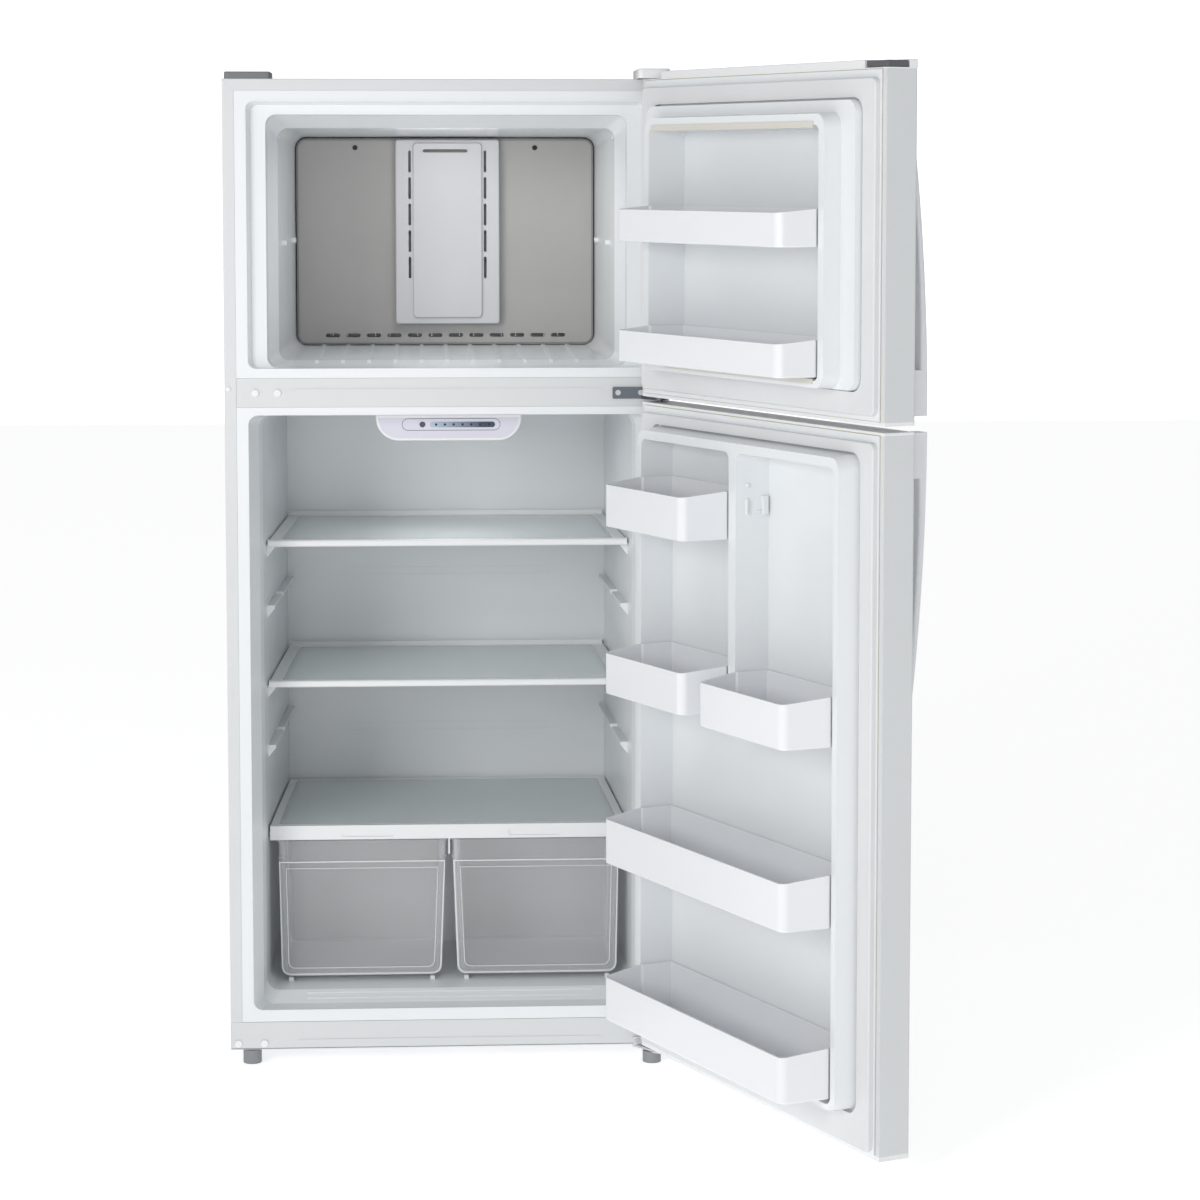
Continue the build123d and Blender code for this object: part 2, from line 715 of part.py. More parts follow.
with BuildPart() as compressor_grommets:
    for x, depth in grommet_spots:
        post(case, x, depth, (case_bottom + base_sheet, compressor_base), 10)
        post(case, x, depth, (compressor_base, compressor_base + 4), 5)
        post(case, x, depth, (compressor_base + 4, compressor_base + 8), 8)
compressor_grommets.part.label = "compressor_grommets"
export_step(compressor_grommets.part, "parts/compressor_grommets.step")


def serpentine(base, x_range, rows, depth, radius, bend):
    """Flat coil of tube that runs back and forth, one row above the other."""
    points = []
    for count, z in enumerate(rows):
        ends = x_range if count % 2 == 0 else x_range[::-1]
        points += [(ends[0], z), (ends[1], z)]
    with BuildLine(face(base, depth)) as path:
        FilletPolyline(*points, radius=bend)
    with BuildSketch(section(base, x_range[0])) as tube:
        with Locations((depth, rows[0])):
            Circle(radius)
    sweep(tube.sketch, path=path.wires()[0])


coil_rows = [60 + 22 * count for count in range(8)]
with BuildPart() as condenser_coil:
    serpentine(case, (-340, -70), coil_rows, 560, 2.5, 10.5)
    for count in range(13):
        x = -325 + 20 * count
        block(case, (x - 0.5, x + 0.5), (545, 575), (coil_rows[0] - 8, coil_rows[-1] + 8))
    for x in (-300, -100):
        block(case, (x - 5, x + 5), (552, 568), (case_bottom + base_sheet, coil_rows[0] - 8))
condenser_coil.part.label = "condenser_coil"
export_step(condenser_coil.part, "parts/condenser_coil.step")

fan_z = 120.0
fan_x = 20.0
fan_shaft = 2.5
fan_blades = 5


def blade_slab(centre, spoke, normal, hub, tip, thickness, pitch):
    """One flat fan blade along a spoke, pitched about it, reaching from hub to tip."""
    leaning = normal.rotate(Axis((0, 0, 0), spoke), pitch)
    with BuildSketch(Plane(origin=centre, x_dir=spoke, z_dir=leaning)) as outline:
        with BuildLine():
            Polyline((hub - 3, -9), (tip - 8, -19), (tip, -6), (tip, 12), (hub - 3, 9), close=True)
        make_face()
    extrude(outline.sketch, amount=thickness / 2, both=True)


with BuildPart() as condenser_fan:
    cross_rod(case, (fan_x - 8, fan_x + 8), compressor_depth, fan_z, 15)
    hub_centre = case.from_local_coords((fan_x, compressor_depth, fan_z))
    for count in range(fan_blades):
        spoke = Vector(0, 1, 0).rotate(Axis.X, count * 360 / fan_blades)
        blade_slab(hub_centre, spoke, Vector(1, 0, 0), 15, 55, 2, 28)
    cross_rod(
        case, (fan_x - 8, fan_x + 8), compressor_depth, fan_z, fan_shaft + running_gap, Mode.SUBTRACT
    )
condenser_fan.part.label = "condenser_fan"
export_step(condenser_fan.part, "parts/condenser_fan.step")

evaporator_fan_spot = (4.0, 1520.0)
evaporator_fan_depth = 520.0
with BuildPart() as evaporator_fan:
    x, z = evaporator_fan_spot
    stud(case, x, z, (evaporator_fan_depth - 6, evaporator_fan_depth + 6), 13)
    hub_centre = case.from_local_coords((x, evaporator_fan_depth, z))
    for count in range(fan_blades):
        spoke = Vector(1, 0, 0).rotate(Axis.Y, count * 360 / fan_blades)
        blade_slab(hub_centre, spoke, Vector(0, -1, 0), 13, 46, 2, 16)
    stud(
        case,
        x,
        z,
        (evaporator_fan_depth - 6, evaporator_fan_depth + 6),
        fan_shaft + running_gap,
        Mode.SUBTRACT,
    )
evaporator_fan.part.label = "evaporator_fan"
export_step(evaporator_fan.part, "parts/evaporator_fan.step")

# Both fans have the same small can motor, each on its own bracket.
with BuildPart() as fan_motors:
    cross_rod(case, (fan_x + 12, fan_x + 42), compressor_depth, fan_z, 20)
    cross_rod(case, (fan_x - 12, fan_x + 12), compressor_depth, fan_z, fan_shaft)
    block(
        case,
        (fan_x + 20, fan_x + 34),
        (compressor_depth - 12, compressor_depth + 12),
        (case_bottom + base_sheet, fan_z - 12),
    )
    x, z = evaporator_fan_spot
    stud(case, x, z, (evaporator_fan_depth + 8, freezer_back[0]), 18)
    stud(case, x, z, (evaporator_fan_depth - 8, evaporator_fan_depth + 8), fan_shaft)
fan_motors.part.label = "fan_motors"
export_step(fan_motors.part, "parts/fan_motors.step")

# A louvred board closes the machine compartment from behind.
gland_spot = (-300.0, 78.0)
gland_radius = 8.0
with BuildPart() as machine_cover:
    upright_plate(
        case,
        (-half_case + sheet + 0.5, half_case - sheet - 0.5),
        (case_bottom + 2, machine_top - 2),
        (case_depth - 2.8, case_depth - 1.2),
    )
    with BuildSketch(face(case, case_depth - 2.8)) as louvres:
        for centre in (-190, 190):
            with Locations((centre, 165)):
                with GridLocations(86, 16, 3, 9):
                    SlotOverall(70, 6)
    extrude(louvres.sketch, amount=-1.6, mode=Mode.SUBTRACT)
    stud(case, *gland_spot, (case_depth - 3, case_depth), gland_radius + 0.1, Mode.SUBTRACT)
machine_cover.part.label = "machine_cover"
export_step(machine_cover.part, "parts/machine_cover.step")

with BuildPart() as cord_gland:
    stud(case, *gland_spot, (case_depth - 8, case_depth - 2.8), gland_radius + 3)
    stud(case, *gland_spot, (case_depth - 2.8, case_depth - 1.2), gland_radius)
    stud(case, *gland_spot, (case_depth - 1.2, case_depth + 2.4), gland_radius + 3)
    fillet(cord_gland.faces().sort_by(Axis.Y)[-1].edges(), 1.2)
    stud(case, *gland_spot, (case_depth - 10, case_depth + 5), 4, Mode.SUBTRACT)
cord_gland.part.label = "cord_gland"
export_step(cord_gland.part, "parts/cord_gland.step")

# ---------------------------------------------------------------- freezer cooling parts
evaporator_rows = [1250 + 30 * count for count in range(6)]
with BuildPart() as evaporator_coil:
    serpentine(case, (-235, 235), evaporator_rows, 524, 3.5, 14.5)
    for count in range(17):
        x = -208 + 26 * count
        block(case, (x - 0.5, x + 0.5), (505, 543), (evaporator_rows[0] - 12, evaporator_rows[-1] + 12))
evaporator_coil.part.label = "evaporator_coil"
export_step(evaporator_coil.part, "parts/evaporator_coil.step")

panel_half = 273.0
panel_bottom = 1224.5
panel_top = 1602.0
with BuildPart() as freezer_rear_panel:
    upright_plate(
        case,
        (-panel_half, panel_half),
        (panel_bottom, panel_top),
        (panel_depth, panel_depth + 3),
        corner=17,
    )
    stud(case, *evaporator_fan_spot, (panel_depth, panel_depth + 3), 50, Mode.SUBTRACT)
    with BuildSketch(face(case, panel_depth)) as air_slots:
        with Locations((0, 1240)):
            with GridLocations(38, 1, 12, 1):
                SlotOverall(26, 7)
    extrude(air_slots.sketch, amount=-3, mode=Mode.SUBTRACT)
    for x, z in panel_screws:
        stud(case, x, z, (panel_depth, panel_depth + 3), 2.1, Mode.SUBTRACT)
freezer_rear_panel.part.label = "freezer_rear_panel"
export_step(freezer_rear_panel.part, "parts/freezer_rear_panel.step")

tower_x = 4.0
tower_half = 96.0
plate_half = 63.5
tower_depth = 472.0
tower_bottom = 1262.0
with BuildPart() as freezer_duct_cover:
    upright_plate(
        case,
        (tower_x - tower_half, tower_x + tower_half),
        (tower_bottom, panel_top),
        (tower_depth, panel_depth),
        corner=6,
    )
    fillet(freezer_duct_cover.faces().sort_by(Axis.Y)[0].edges(), 3)
    upright_plate(
        case,
        (tower_x - plate_half, tower_x + plate_half),
        (tower_bottom + 12, panel_top - 6),
        (tower_depth - 6, tower_depth),
        corner=8,
    )
    fillet(freezer_duct_cover.faces().sort_by(Axis.Y)[0].edges(), 2)
    upright_plate(
        case,
        (tower_x - tower_half + 2, tower_x + tower_half - 2),
        (tower_bottom + 2, panel_top - 2),
        (tower_depth + 2, panel_depth),
        Mode.SUBTRACT,
        corner=4,
    )
    # One long slot across the top of the plate and a row of short ones down each side.
    with BuildSketch(face(case, tower_depth - 7)) as outlets:
        with Locations((tower_x - 4, 1581)):
            SlotOverall(82, 6)
        for side in (-1, 1):
            for count in range(5):
                with Locations((tower_x + side * (plate_half + 6), 1561.5 - 48.8 * count)):
                    SlotOverall(40, 5, rotation=90)
    extrude(outlets.sketch, amount=-12, mode=Mode.SUBTRACT)
freezer_duct_cover.part.label = "freezer_duct_cover"
export_step(freezer_duct_cover.part, "parts/freezer_duct_cover.step")

# ---------------------------------------------------------------- temperature control
control_depth = 60.0
control_half = 126.0
control_bottom = 1079.5
control_top = 1123.8
control_centre = 2.0
button_spot = (-43.5, 1107.5)
button_radius = 4.6


def control_outline(shrink, depth):
    """The housing's face: straight across the top, with large rounded lower corners."""
    half = control_half - shrink
    bottom = control_bottom + shrink
    corner = 40 - shrink
    with BuildSketch(face(case, depth)) as outline:
        with Locations((control_centre, (bottom + control_top - shrink) / 2)):
            Rectangle(2 * half, control_top - shrink - bottom)
        fillet(outline.vertices().group_by(Axis.Y)[0], corner)
    return outline.sketch


with BuildPart() as control_housing:
    extrude(control_outline(0, control_depth), amount=-185)
    fillet(control_housing.faces().sort_by(Axis.Y)[0].edges().sort_by(Axis.Z)[:-1], 3)
    extrude(control_outline(2.2, control_depth + 2.6), amount=-200, mode=Mode.SUBTRACT)
    extrude(control_outline(4.2, control_depth), amount=-0.6, mode=Mode.SUBTRACT)
    stud(case, *button_spot, (control_depth - 1, control_depth + 4), button_radius + 0.4, Mode.SUBTRACT)
control_housing.part.label = "control_housing"
export_step(control_housing.part, "parts/control_housing.step")

with BuildPart() as set_button:
    stud(case, *button_spot, (control_depth - 0.8, control_depth + 3.2), button_radius)
    fillet(set_button.faces().sort_by(Axis.Y)[0].edges(), 0.6)
    stud(case, *button_spot, (control_depth + 3.2, control_depth + 5), button_radius + 1.5)
set_button.part.label = "set_button"
export_step(set_button.part, "parts/set_button.step")

with BuildPart() as lamp_lens:
    block(case, (-58, 62), (252, 330), (1092, 1120), corner=10)
    fillet(lamp_lens.faces().sort_by(Axis.Z)[0].edges(), 8)
    block(case, (-56, 60), (254, 328), (1096, 1121), Mode.SUBTRACT, corner=8)
lamp_lens.part.label = "lamp_lens"
export_step(lamp_lens.part, "parts/lamp_lens.step")

# ---------------------------------------------------------------- shelves
front_trim = 16.0
side_rail = 21.0
shelf_gap = 3.2
glass_thickness = 4.0


def shelf_outline(z, inset, front, back):
    """Outline of a shelf that follows the taper of the walls."""
    near = fridge_wall(front) - shelf_gap - inset
    far = fridge_wall(back) - shelf_gap - inset
    with BuildSketch(level(case, z)) as outline:
        with BuildLine():
            Polyline((-near, front), (near, front), (far, back), (-far, back), close=True)
        make_face()
        if inset:
            fillet(outline.vertices(), 8)
    return outline.sketch


for shelf_name, z in (("upper_shelf", upper_shelf_z), ("lower_shelf", lower_shelf_z)):
    glass_front = shelf_front + front_trim - 4
    glass_back = shelf_back - 14
    with BuildPart() as shelf_frame:
        extrude(shelf_outline(z, 0, shelf_front, shelf_back), amount=7)
        # The front trim is deeper than the rails and hangs in front of the ledges.
        near = fridge_wall(shelf_front) - shelf_gap
        block(case, (-near, near), (shelf_front, shelf_front + front_trim), (z - 1.5, z + 10.5))
        fillet(
            shelf_frame.edges()
            .filter_by(Axis.X)
            .filter_by_position(Axis.Y, front_y + shelf_front - 0.1, front_y + shelf_front + 0.1),
            4,
        )
        # A low fence stands along the back edge.
        fence = fridge_wall(shelf_back) - shelf_gap
        block(case, (-fence + 2, fence - 2), (shelf_back - 5, shelf_back), (z, z + 15))
        extrude(shelf_outline(z + 3, side_rail, glass_front, glass_back), amount=10, mode=Mode.SUBTRACT)
        window = shelf_outline(z, side_rail + 6, shelf_front + front_trim + 2, glass_back - 6)
        extrude(window, amount=10, mode=Mode.SUBTRACT)
    shelf_frame.part.label = f"{shelf_name}_frame"
    export_step(shelf_frame.part, f"parts/{shelf_name}_frame.step")
    with BuildPart() as shelf_glass:
        pane = shelf_outline(z + 3, side_rail + 0.15, glass_front + 0.15, glass_back - 0.15)
        extrude(pane, amount=glass_thickness)
    shelf_glass.part.label = f"{shelf_name}_glass"
    export_step(shelf_glass.part, f"parts/{shelf_name}_glass.step")

# The crisper cover is a third glass shelf with a deep front trim and a rail between the drawers.
cover_front = 120.0
cover_back = 566.0
cover_trim = 20.0
scoop_centres = (-143.0, 151.0)
with BuildPart() as crisper_cover_frame:
    z = crisper_cover_z
    extrude(shelf_outline(z, 0, cover_front, cover_back), amount=14)
    near = fridge_wall(cover_front) - shelf_gap
    block(case, (-near, near), (cover_front, cover_front + cover_trim), (crisper_top + 3, z + 14))
    rebate = shelf_outline(z + 9, 14, cover_front + cover_trim - 4, cover_back - 10)
    extrude(rebate, amount=6, mode=Mode.SUBTRACT)
    window = shelf_outline(z, 20, cover_front + cover_trim + 2, cover_back - 16)
    extrude(window, amount=14, mode=Mode.SUBTRACT)
    # The shallow scoops are finger holds above the drawers.
    for x in scoop_centres:
        with BuildSketch(face(case, cover_front)) as scoop:
            with Locations((x, crisper_top + 13)):
                SlotOverall(92, 11)
        extrude(scoop.sketch, amount=-2.2, mode=Mode.SUBTRACT)
    block(case, (-1.4, 1.4), (cover_front + 6, 400), (crisper_top - 26, z + 2))
    block(case, (-12, 12), (cover_front + 6, cover_back - 4), (z, z + 8.8))
crisper_cover_frame.part.label = "crisper_cover_frame"
export_step(crisper_cover_frame.part, "parts/crisper_cover_frame.step")

with BuildPart() as crisper_cover_glass:
    pane = shelf_outline(z + 9, 14.15, cover_front + cover_trim - 3.85, cover_back - 10.15)
    extrude(pane, amount=glass_thickness)
crisper_cover_glass.part.label = "crisper_cover_glass"
export_step(crisper_cover_glass.part, "parts/crisper_cover_glass.step")

# ---------------------------------------------------------------- crisper drawers
drawer_wall = 2.4
drawer_front = 124.0
drawer_back = 404.0


def drawer_outline(side, z, x_range, inset, shrink):
    """Rounded outline of a drawer at a height, drawn for the right side and mirrored."""
    near, far = sorted((side * x_range[0], side * x_range[1]))
    with BuildSketch(level(case, z)) as outline:
        with Locations(((near + far) / 2, (drawer_front + drawer_back) / 2)):
            RectangleRounded(
                far - near - 2 * shrink, drawer_back - drawer_front - 2 * (inset + shrink), 20 - shrink
            )
    return outline.sketch


for crisper_name, side in (("left_crisper", -1), ("right_crisper", 1)):
    floor_x, rim_x = (14.0, 297.0), (5.0, 301.0)
    with BuildPart() as drawer_space:
        loft(
            [
                drawer_outline(side, crisper_bottom + drawer_wall, floor_x, 6, drawer_wall),
                drawer_outline(side, crisper_top, rim_x, 1, drawer_wall),
            ]
        )
        fillet(drawer_space.faces().sort_by(Axis.Z)[0].edges(), 12 - drawer_wall)
    with BuildPart() as drawer:
        loft(
            [
                drawer_outline(side, crisper_bottom, floor_x, 6, 0),
                drawer_outline(side, crisper_top - 4, rim_x, 1, 0),
            ]
        )
        fillet(drawer.faces().sort_by(Axis.Z)[0].edges(), 12)
        rim = drawer_outline(side, crisper_top - 4, (3.2, 303.0), 0, 0)
        extrude(rim, amount=4)
        band = drawer_outline(side, crisper_top - 34, (4.4, 301.8), 0.6, 0)
        extrude(band, amount=4)
        add(drawer_space.part, mode=Mode.SUBTRACT)
    drawer.part.label = crisper_name
    export_step(drawer.part, f"parts/{crisper_name}.step")

# ---------------------------------------------------------------- doors
# Both doors are a folded steel skin with moulded end caps, a plastic liner and foam inside.
skin_return = 11.0
notch_x = -318.0
notch_depth = -52.0
cap_band_top = 1711.0
cap_band_end = 316.0
gasket_outer = 365.0
gasket_inner = 331.0
gasket_face = -0.6
gasket_base = -10.0
pocket_floor = -27.0
door_wall = 1.8


def build_door_skin(bottom, top):
    """Folded steel face, two sides and narrow returns round the back."""
    with BuildPart() as skin:
        block(door, (-half_case, half_case), (door_front, door_back), (bottom, top))
        folds = skin.edges().filter_by(Axis.Z).sort_by_distance(
            door.from_local_coords((0, door_front - 900, (bottom + top) / 2))
        )[:2]
        fillet(folds, 4)
        block(
            door,
            (-half_case + sheet, half_case - sheet),
            (door_front + sheet, door_back - sheet),
            (bottom, top),
            Mode.SUBTRACT,
            corner=3,
        )
        block(
            door,
            (-half_case + skin_return, half_case - skin_return),
            (door_back - sheet, door_back),
            (bottom, top),
            Mode.SUBTRACT,
        )
    return skin


def cap_plate(z_range, corner=4.0):
    """End cap that closes a door's skin, with the door's plan outline."""
    with BuildSketch(level(door, z_range[0])) as outline:
        with BuildLine():
            FilletPolyline(
                (-half_case, door_back),
                (-half_case, door_front),
                (half_case, door_front),
                (half_case, door_back),
                radius=corner,
            )
            Line((half_case, door_back), (-half_case, door_back))
        make_face()
    extrude(outline.sketch, amount=z_range[1] - z_range[0])


def cap_bushing(z_range, through):
    """Moulded bushing for a hinge pin, reaching from a cap into the door."""
    post(door, hinge_x, hinge_depth, z_range, hinge_pin + 4)
    post(door, hinge_x, hinge_depth, through, hinge_pin + running_gap, Mode.SUBTRACT)


freezer_skin = build_door_skin(freezer_door_bottom + cap_thickness, freezer_door_top - 2)
freezer_skin.part.label = "freezer_door_skin"
export_step(freezer_skin.part, "parts/freezer_door_skin.step")

fridge_skin = build_door_skin(fridge_door_bottom + cap_thickness + 2, fridge_door_top - 4)
fridge_skin.part.label = "fridge_door_skin"
export_step(fridge_skin.part, "parts/fridge_door_skin.step")

with BuildPart() as freezer_door_caps:
    low, high = freezer_door_bottom, freezer_door_top
    cap_plate((low, low + cap_thickness))
    cap_bushing((low + cap_thickness, low + 18), (low, low + 16))
    cap_plate((high - 2, high - 0.2))
    cap_bushing((high - 18, high - 2), (high - 16, high))
    # A raised band runs along the top, notched at the free end for a left-hand hinge.
    block(door, (-half_case + 0.2, cap_band_end), (door_front + 0.2, door_back), (high - 0.4, cap_band_top))
    block(
        door,
        (-half_case, notch_x),
        (notch_depth, door_back),
        (high - 0.2, cap_band_top),
        Mode.SUBTRACT,
    )
    band_top = freezer_door_caps.faces().sort_by(Axis.Z)[-1]
    fillet(band_top.edges(), 1.5)
freezer_door_caps.part.label = "freezer_door_caps"
export_step(freezer_door_caps.part, "parts/freezer_door_caps.step")

with BuildPart() as fridge_door_caps:
    low, high = fridge_door_bottom, fridge_door_top
    cap_plate((low, low + cap_thickness + 2))
    cap_bushing((low + cap_thickness + 2, low + 20), (low, low + 17))
    cap_plate((high - 4, high))
    cap_bushing((high - 20, high - 4), (high - 17, high))
fridge_door_caps.part.label = "fridge_door_caps"
export_step(fridge_door_caps.part, "parts/fridge_door_caps.step")

# ---------------------------------------------------------------- door liners and foam
# The freezer door has two steps, and the fridge door one, round pockets for the bins.
freezer_base = (door_back, 329, 1212.5, 1653, 22)
freezer_shoulder = (10, 327, 1212.8, 1651.5, 20)
freezer_dyke = (8, 288, 1213.6, 1634, 24)
freezer_crest = (38, 284, 1214.6, 1631, 22)
freezer_pocket = (38, 268, 1226, 1614, 10)
freezer_pocket_floor = (pocket_floor, 262, 1229, 1608, 8)

fridge_base = (door_back, 326, 99, 1117, 22)
fridge_crest = (31, 318.5, 99.5, 1111, 20)
fridge_pocket = (31, 306, 108, 1096, 14)
fridge_pocket_floor = (pocket_floor, 300, 114, 1090, 12)
divider_crest = (-11.0, 12.0)
divider_bottom = 655.0


def pocket_block(near, far, x_range, z_range, taper, grow=0, deeper=0, mode=Mode.ADD):
    """Tapering pocket between two depths; x and z ranges are given at the crest."""
    sketches = []
    for depth, shrink, corner in ((near[0], 0, near[4]), (far[0] + deeper, taper, far[4])):
        with BuildSketch(face(door, depth)) as outline:
            with Locations((sum(x_range) / 2, sum(z_range) / 2)):
                RectangleRounded(
                    x_range[1] - x_range[0] - 2 * shrink + 2 * grow,
                    z_range[1] - z_range[0] - 2 * shrink + 2 * grow,
                    corner + grow,
                )
        sketches.append(outline.sketch)
    loft(sketches, mode=mode)


fridge_pockets = (
    ((divider_crest[1], 306.0), (divider_bottom - 30, 1096.0)),
    ((-306.0, divider_crest[0]), (divider_bottom - 30, 1096.0)),
    ((-306.0, 306.0), (108.0, divider_bottom)),
)

# Bins as name, crest x range, front x range, bottom, height at the crest.
freezer_bins = (
    ("freezer_upper_bin", (-265.0, 265.0), (-259.0, 259.0), 1429.0, 58.0),
    ("freezer_lower_bin", (-265.0, 265.0), (-259.0, 259.0), 1231.0, 57.0),
)
fridge_bins = (
    ("fridge_upper_bin", (14.5, 303.0), (21.0, 283.0), 954.0, 78.0),
    ("fridge_left_bin", (14.5, 303.0), (21.0, 283.0), 673.0, 76.0),
    ("fridge_right_bin", (-303.0, -13.5), (-294.0, -36.0), 666.0, 78.0),
    ("fridge_wide_bin", (-303.0, 303.0), (-296.0, 283.0), 385.0, 83.0),
    ("fridge_bottom_bin", (-303.0, 303.0), (-296.0, 283.0), 117.5, 80.0),
)
bin_tuck = 4.5
boss_radius = 4.0
boss_depth = 4.0


def boss_height(bottom):
    """Height of the two bosses that carry a bin."""
    return bottom + 44


def add_bosses(bins, wall_at_boss, mode=Mode.ADD):
    """Round bosses on the pocket walls at both ends of each bin."""
    for name, crest_x, front_x, bottom, height in bins:
        for end, inward in ((crest_x[0], 1), (crest_x[1], -1)):
            wall_x = end + (-inward) * (wall_at_boss + 1)
            with BuildSketch(section(door, wall_x)) as boss:
                with Locations((boss_depth, boss_height(bottom))):
                    Circle(boss_radius)
            extrude(boss.sketch, amount=inward * (wall_at_boss + 1 - 0.6 + bin_tuck), mode=mode)


with BuildPart() as freezer_door_liner:
    plate_z = (freezer_door_bottom + 6.5, freezer_door_top - 3)
    upright_plate(door, (-368, 368), plate_z, (door_back + 0.1, gasket_base))
    stage(door, freezer_base, freezer_shoulder)
    stage(door, freezer_dyke, freezer_crest)
    stage(door, freezer_base, freezer_shoulder, -door_wall, -door_wall, Mode.SUBTRACT)
    stage(door, freezer_dyke, freezer_crest, -door_wall, -door_wall, Mode.SUBTRACT)
    stage(door, freezer_pocket, freezer_pocket_floor, door_wall, -door_wall)
    stage(door, freezer_pocket, freezer_pocket_floor, mode=Mode.SUBTRACT)
    add_bosses(freezer_bins, 0.6)
freezer_door_liner.part.label = "freezer_door_liner"
export_step(freezer_door_liner.part, "parts/freezer_door_liner.step")

with BuildPart() as fridge_door_liner:
    plate_z = (fridge_door_bottom + 8.5, fridge_door_top - 5)
    upright_plate(door, (-368, 368), plate_z, (door_back + 0.1, gasket_base))
    stage(door, fridge_base, fridge_crest)
    stage(door, fridge_base, fridge_crest, -door_wall, -door_wall, Mode.SUBTRACT)
    for x_range, z_range in fridge_pockets:
        pocket_block(fridge_pocket, fridge_pocket_floor, x_range, z_range, 6, door_wall, -door_wall)
    for x_range, z_range in fridge_pockets:
        pocket_block(fridge_pocket, fridge_pocket_floor, x_range, z_range, 6, mode=Mode.SUBTRACT)
    add_bosses(fridge_bins, 0.6)
fridge_door_liner.part.label = "fridge_door_liner"
export_step(fridge_door_liner.part, "parts/fridge_door_liner.step")


# ---------------------------------------------------------------- gaskets
def build_gasket(inner_z, outer_z):
    """Magnetic gasket: a frame with a bellows groove between its base and its sealing lip."""
    with BuildPart() as seal:
        upright_plate(door, (-gasket_outer, gasket_outer), outer_z, (gasket_face, gasket_base), corner=12)
        sealing_face = seal.faces().sort_by_distance(
            door.from_local_coords((0, 300, sum(outer_z) / 2))
        )[0]
        fillet(sealing_face.edges(), 2.5)
        upright_plate(
            door,
            (-gasket_inner, gasket_inner),
            inner_z,
            (gasket_face, gasket_base),
            Mode.SUBTRACT,
            corner=24,
        )
        with BuildSketch(face(door, gasket_face)) as groove:
            with Locations((0, sum(outer_z) / 2)):
                RectangleRounded(2 * gasket_outer - 22, outer_z[1] - outer_z[0] - 22, 20)
                RectangleRounded(
                    2 * gasket_outer - 30, outer_z[1] - outer_z[0] - 30, 18, mode=Mode.SUBTRACT
                )
        extrude(groove.sketch, amount=-5, mode=Mode.SUBTRACT)
    return seal


freezer_gasket = build_gasket((1210.5, 1655.0), (1176.5, 1684.0))
freezer_gasket.part.label = "freezer_door_gasket"
export_step(freezer_gasket.part, "parts/freezer_door_gasket.step")

fridge_gasket = build_gasket((94.0, 1119.0), (44.0, 1136.0))
fridge_gasket.part.label = "fridge_door_gasket"
export_step(fridge_gasket.part, "parts/fridge_door_gasket.step")

# ---------------------------------------------------------------- handles
handle_width = 28.0
handle_x = -359.0
handle_bow = 37.0
handle_bar = 14.0


def build_handle(root, tip, sag):
    """Bow handle: a solid foot at the gap between the doors, and a bar that sinks into the door."""
    away = 1 if tip > root else -1
    foot_end = root + away * 70
    with BuildPart() as grip:
        with BuildSketch(section(door, handle_x)) as profile:
            with BuildLine():
                middle = (root + tip) / 2
                ThreePointArc(
                    (door_front - handle_bow, root),
                    (door_front - handle_bow + sag / 4, middle),
                    (door_front - handle_bow + sag, tip),
                )
                Line((door_front - handle_bow + sag, tip), (door_front, tip + away * 8))
                Line((door_front, tip + away * 8), (door_front, tip - away * 60))
                ThreePointArc(
                    (door_front, tip - away * 60),
                    (door_front - handle_bow + handle_bar + sag / 5, (foot_end + tip) / 2),
                    (door_front - handle_bow + handle_bar, foot_end),
                )
                Line((door_front - handle_bow + handle_bar, foot_end), (door_front, foot_end))
                Line((door_front, foot_end), (door_front, root))
                Line((door_front, root), (door_front - handle_bow, root))
            make_face()
        extrude(profile.sketch, amount=handle_width)
        fillet(grip.edges().filter_by(GeomType.CIRCLE), 4)
    return grip


freezer_handle = build_handle(freezer_door_bottom + 12, 1640.0, 33.0)
freezer_handle.part.label = "freezer_door_handle"
export_step(freezer_handle.part, "parts/freezer_door_handle.step")

fridge_handle = build_handle(fridge_door_top - 3, 662.0, 33.0)
fridge_handle.part.label = "fridge_door_handle"
export_step(fridge_handle.part, "parts/fridge_door_handle.step")

# ---------------------------------------------------------------- freezer lip strips
# Angle strips hook over the crest's inner edge above the top bin and below the bottom one.
with BuildPart() as freezer_lip_strips:
    for outer, inner, span in (
        ((1609.9, 1619.5), (1611.1, 1621), (-253, 258)),
        ((1220.5, 1228.6), (1219, 1227.4), (-255, 214)),
    ):
        upright_plate(door, span, outer, (39.6, 28))
        upright_plate(door, span, inner, (38.3, 28), Mode.SUBTRACT)
freezer_lip_strips.part.label = "freezer_lip_strips"
export_step(freezer_lip_strips.part, "parts/freezer_lip_strips.step")

# ---------------------------------------------------------------- bins
bin_wall = 2.5
bin_lift = 25.0


def bin_outline(z, crest_x, front_x, crest, front, shrink, back):
    """Plan of a bin: straight inside the pocket, then tapering out to rounded front corners."""
    with BuildSketch(level(door, z)) as outline:
        with BuildLine():
            Polyline(
                (crest_x[0] + bin_tuck, back),
                (crest_x[0] + bin_tuck, crest - 1),
                (crest_x[0], crest + 1),
                (front_x[0], front),
                (front_x[1], front),
                (crest_x[1], crest + 1),
                (crest_x[1] - bin_tuck, crest - 1),
                (crest_x[1] - bin_tuck, back),
                close=True,
            )
        make_face()
        fillet(outline.vertices().group_by(Axis.Y)[-1], 14)
        if shrink:
            offset(amount=-shrink, mode=Mode.REPLACE)
    return outline.sketch


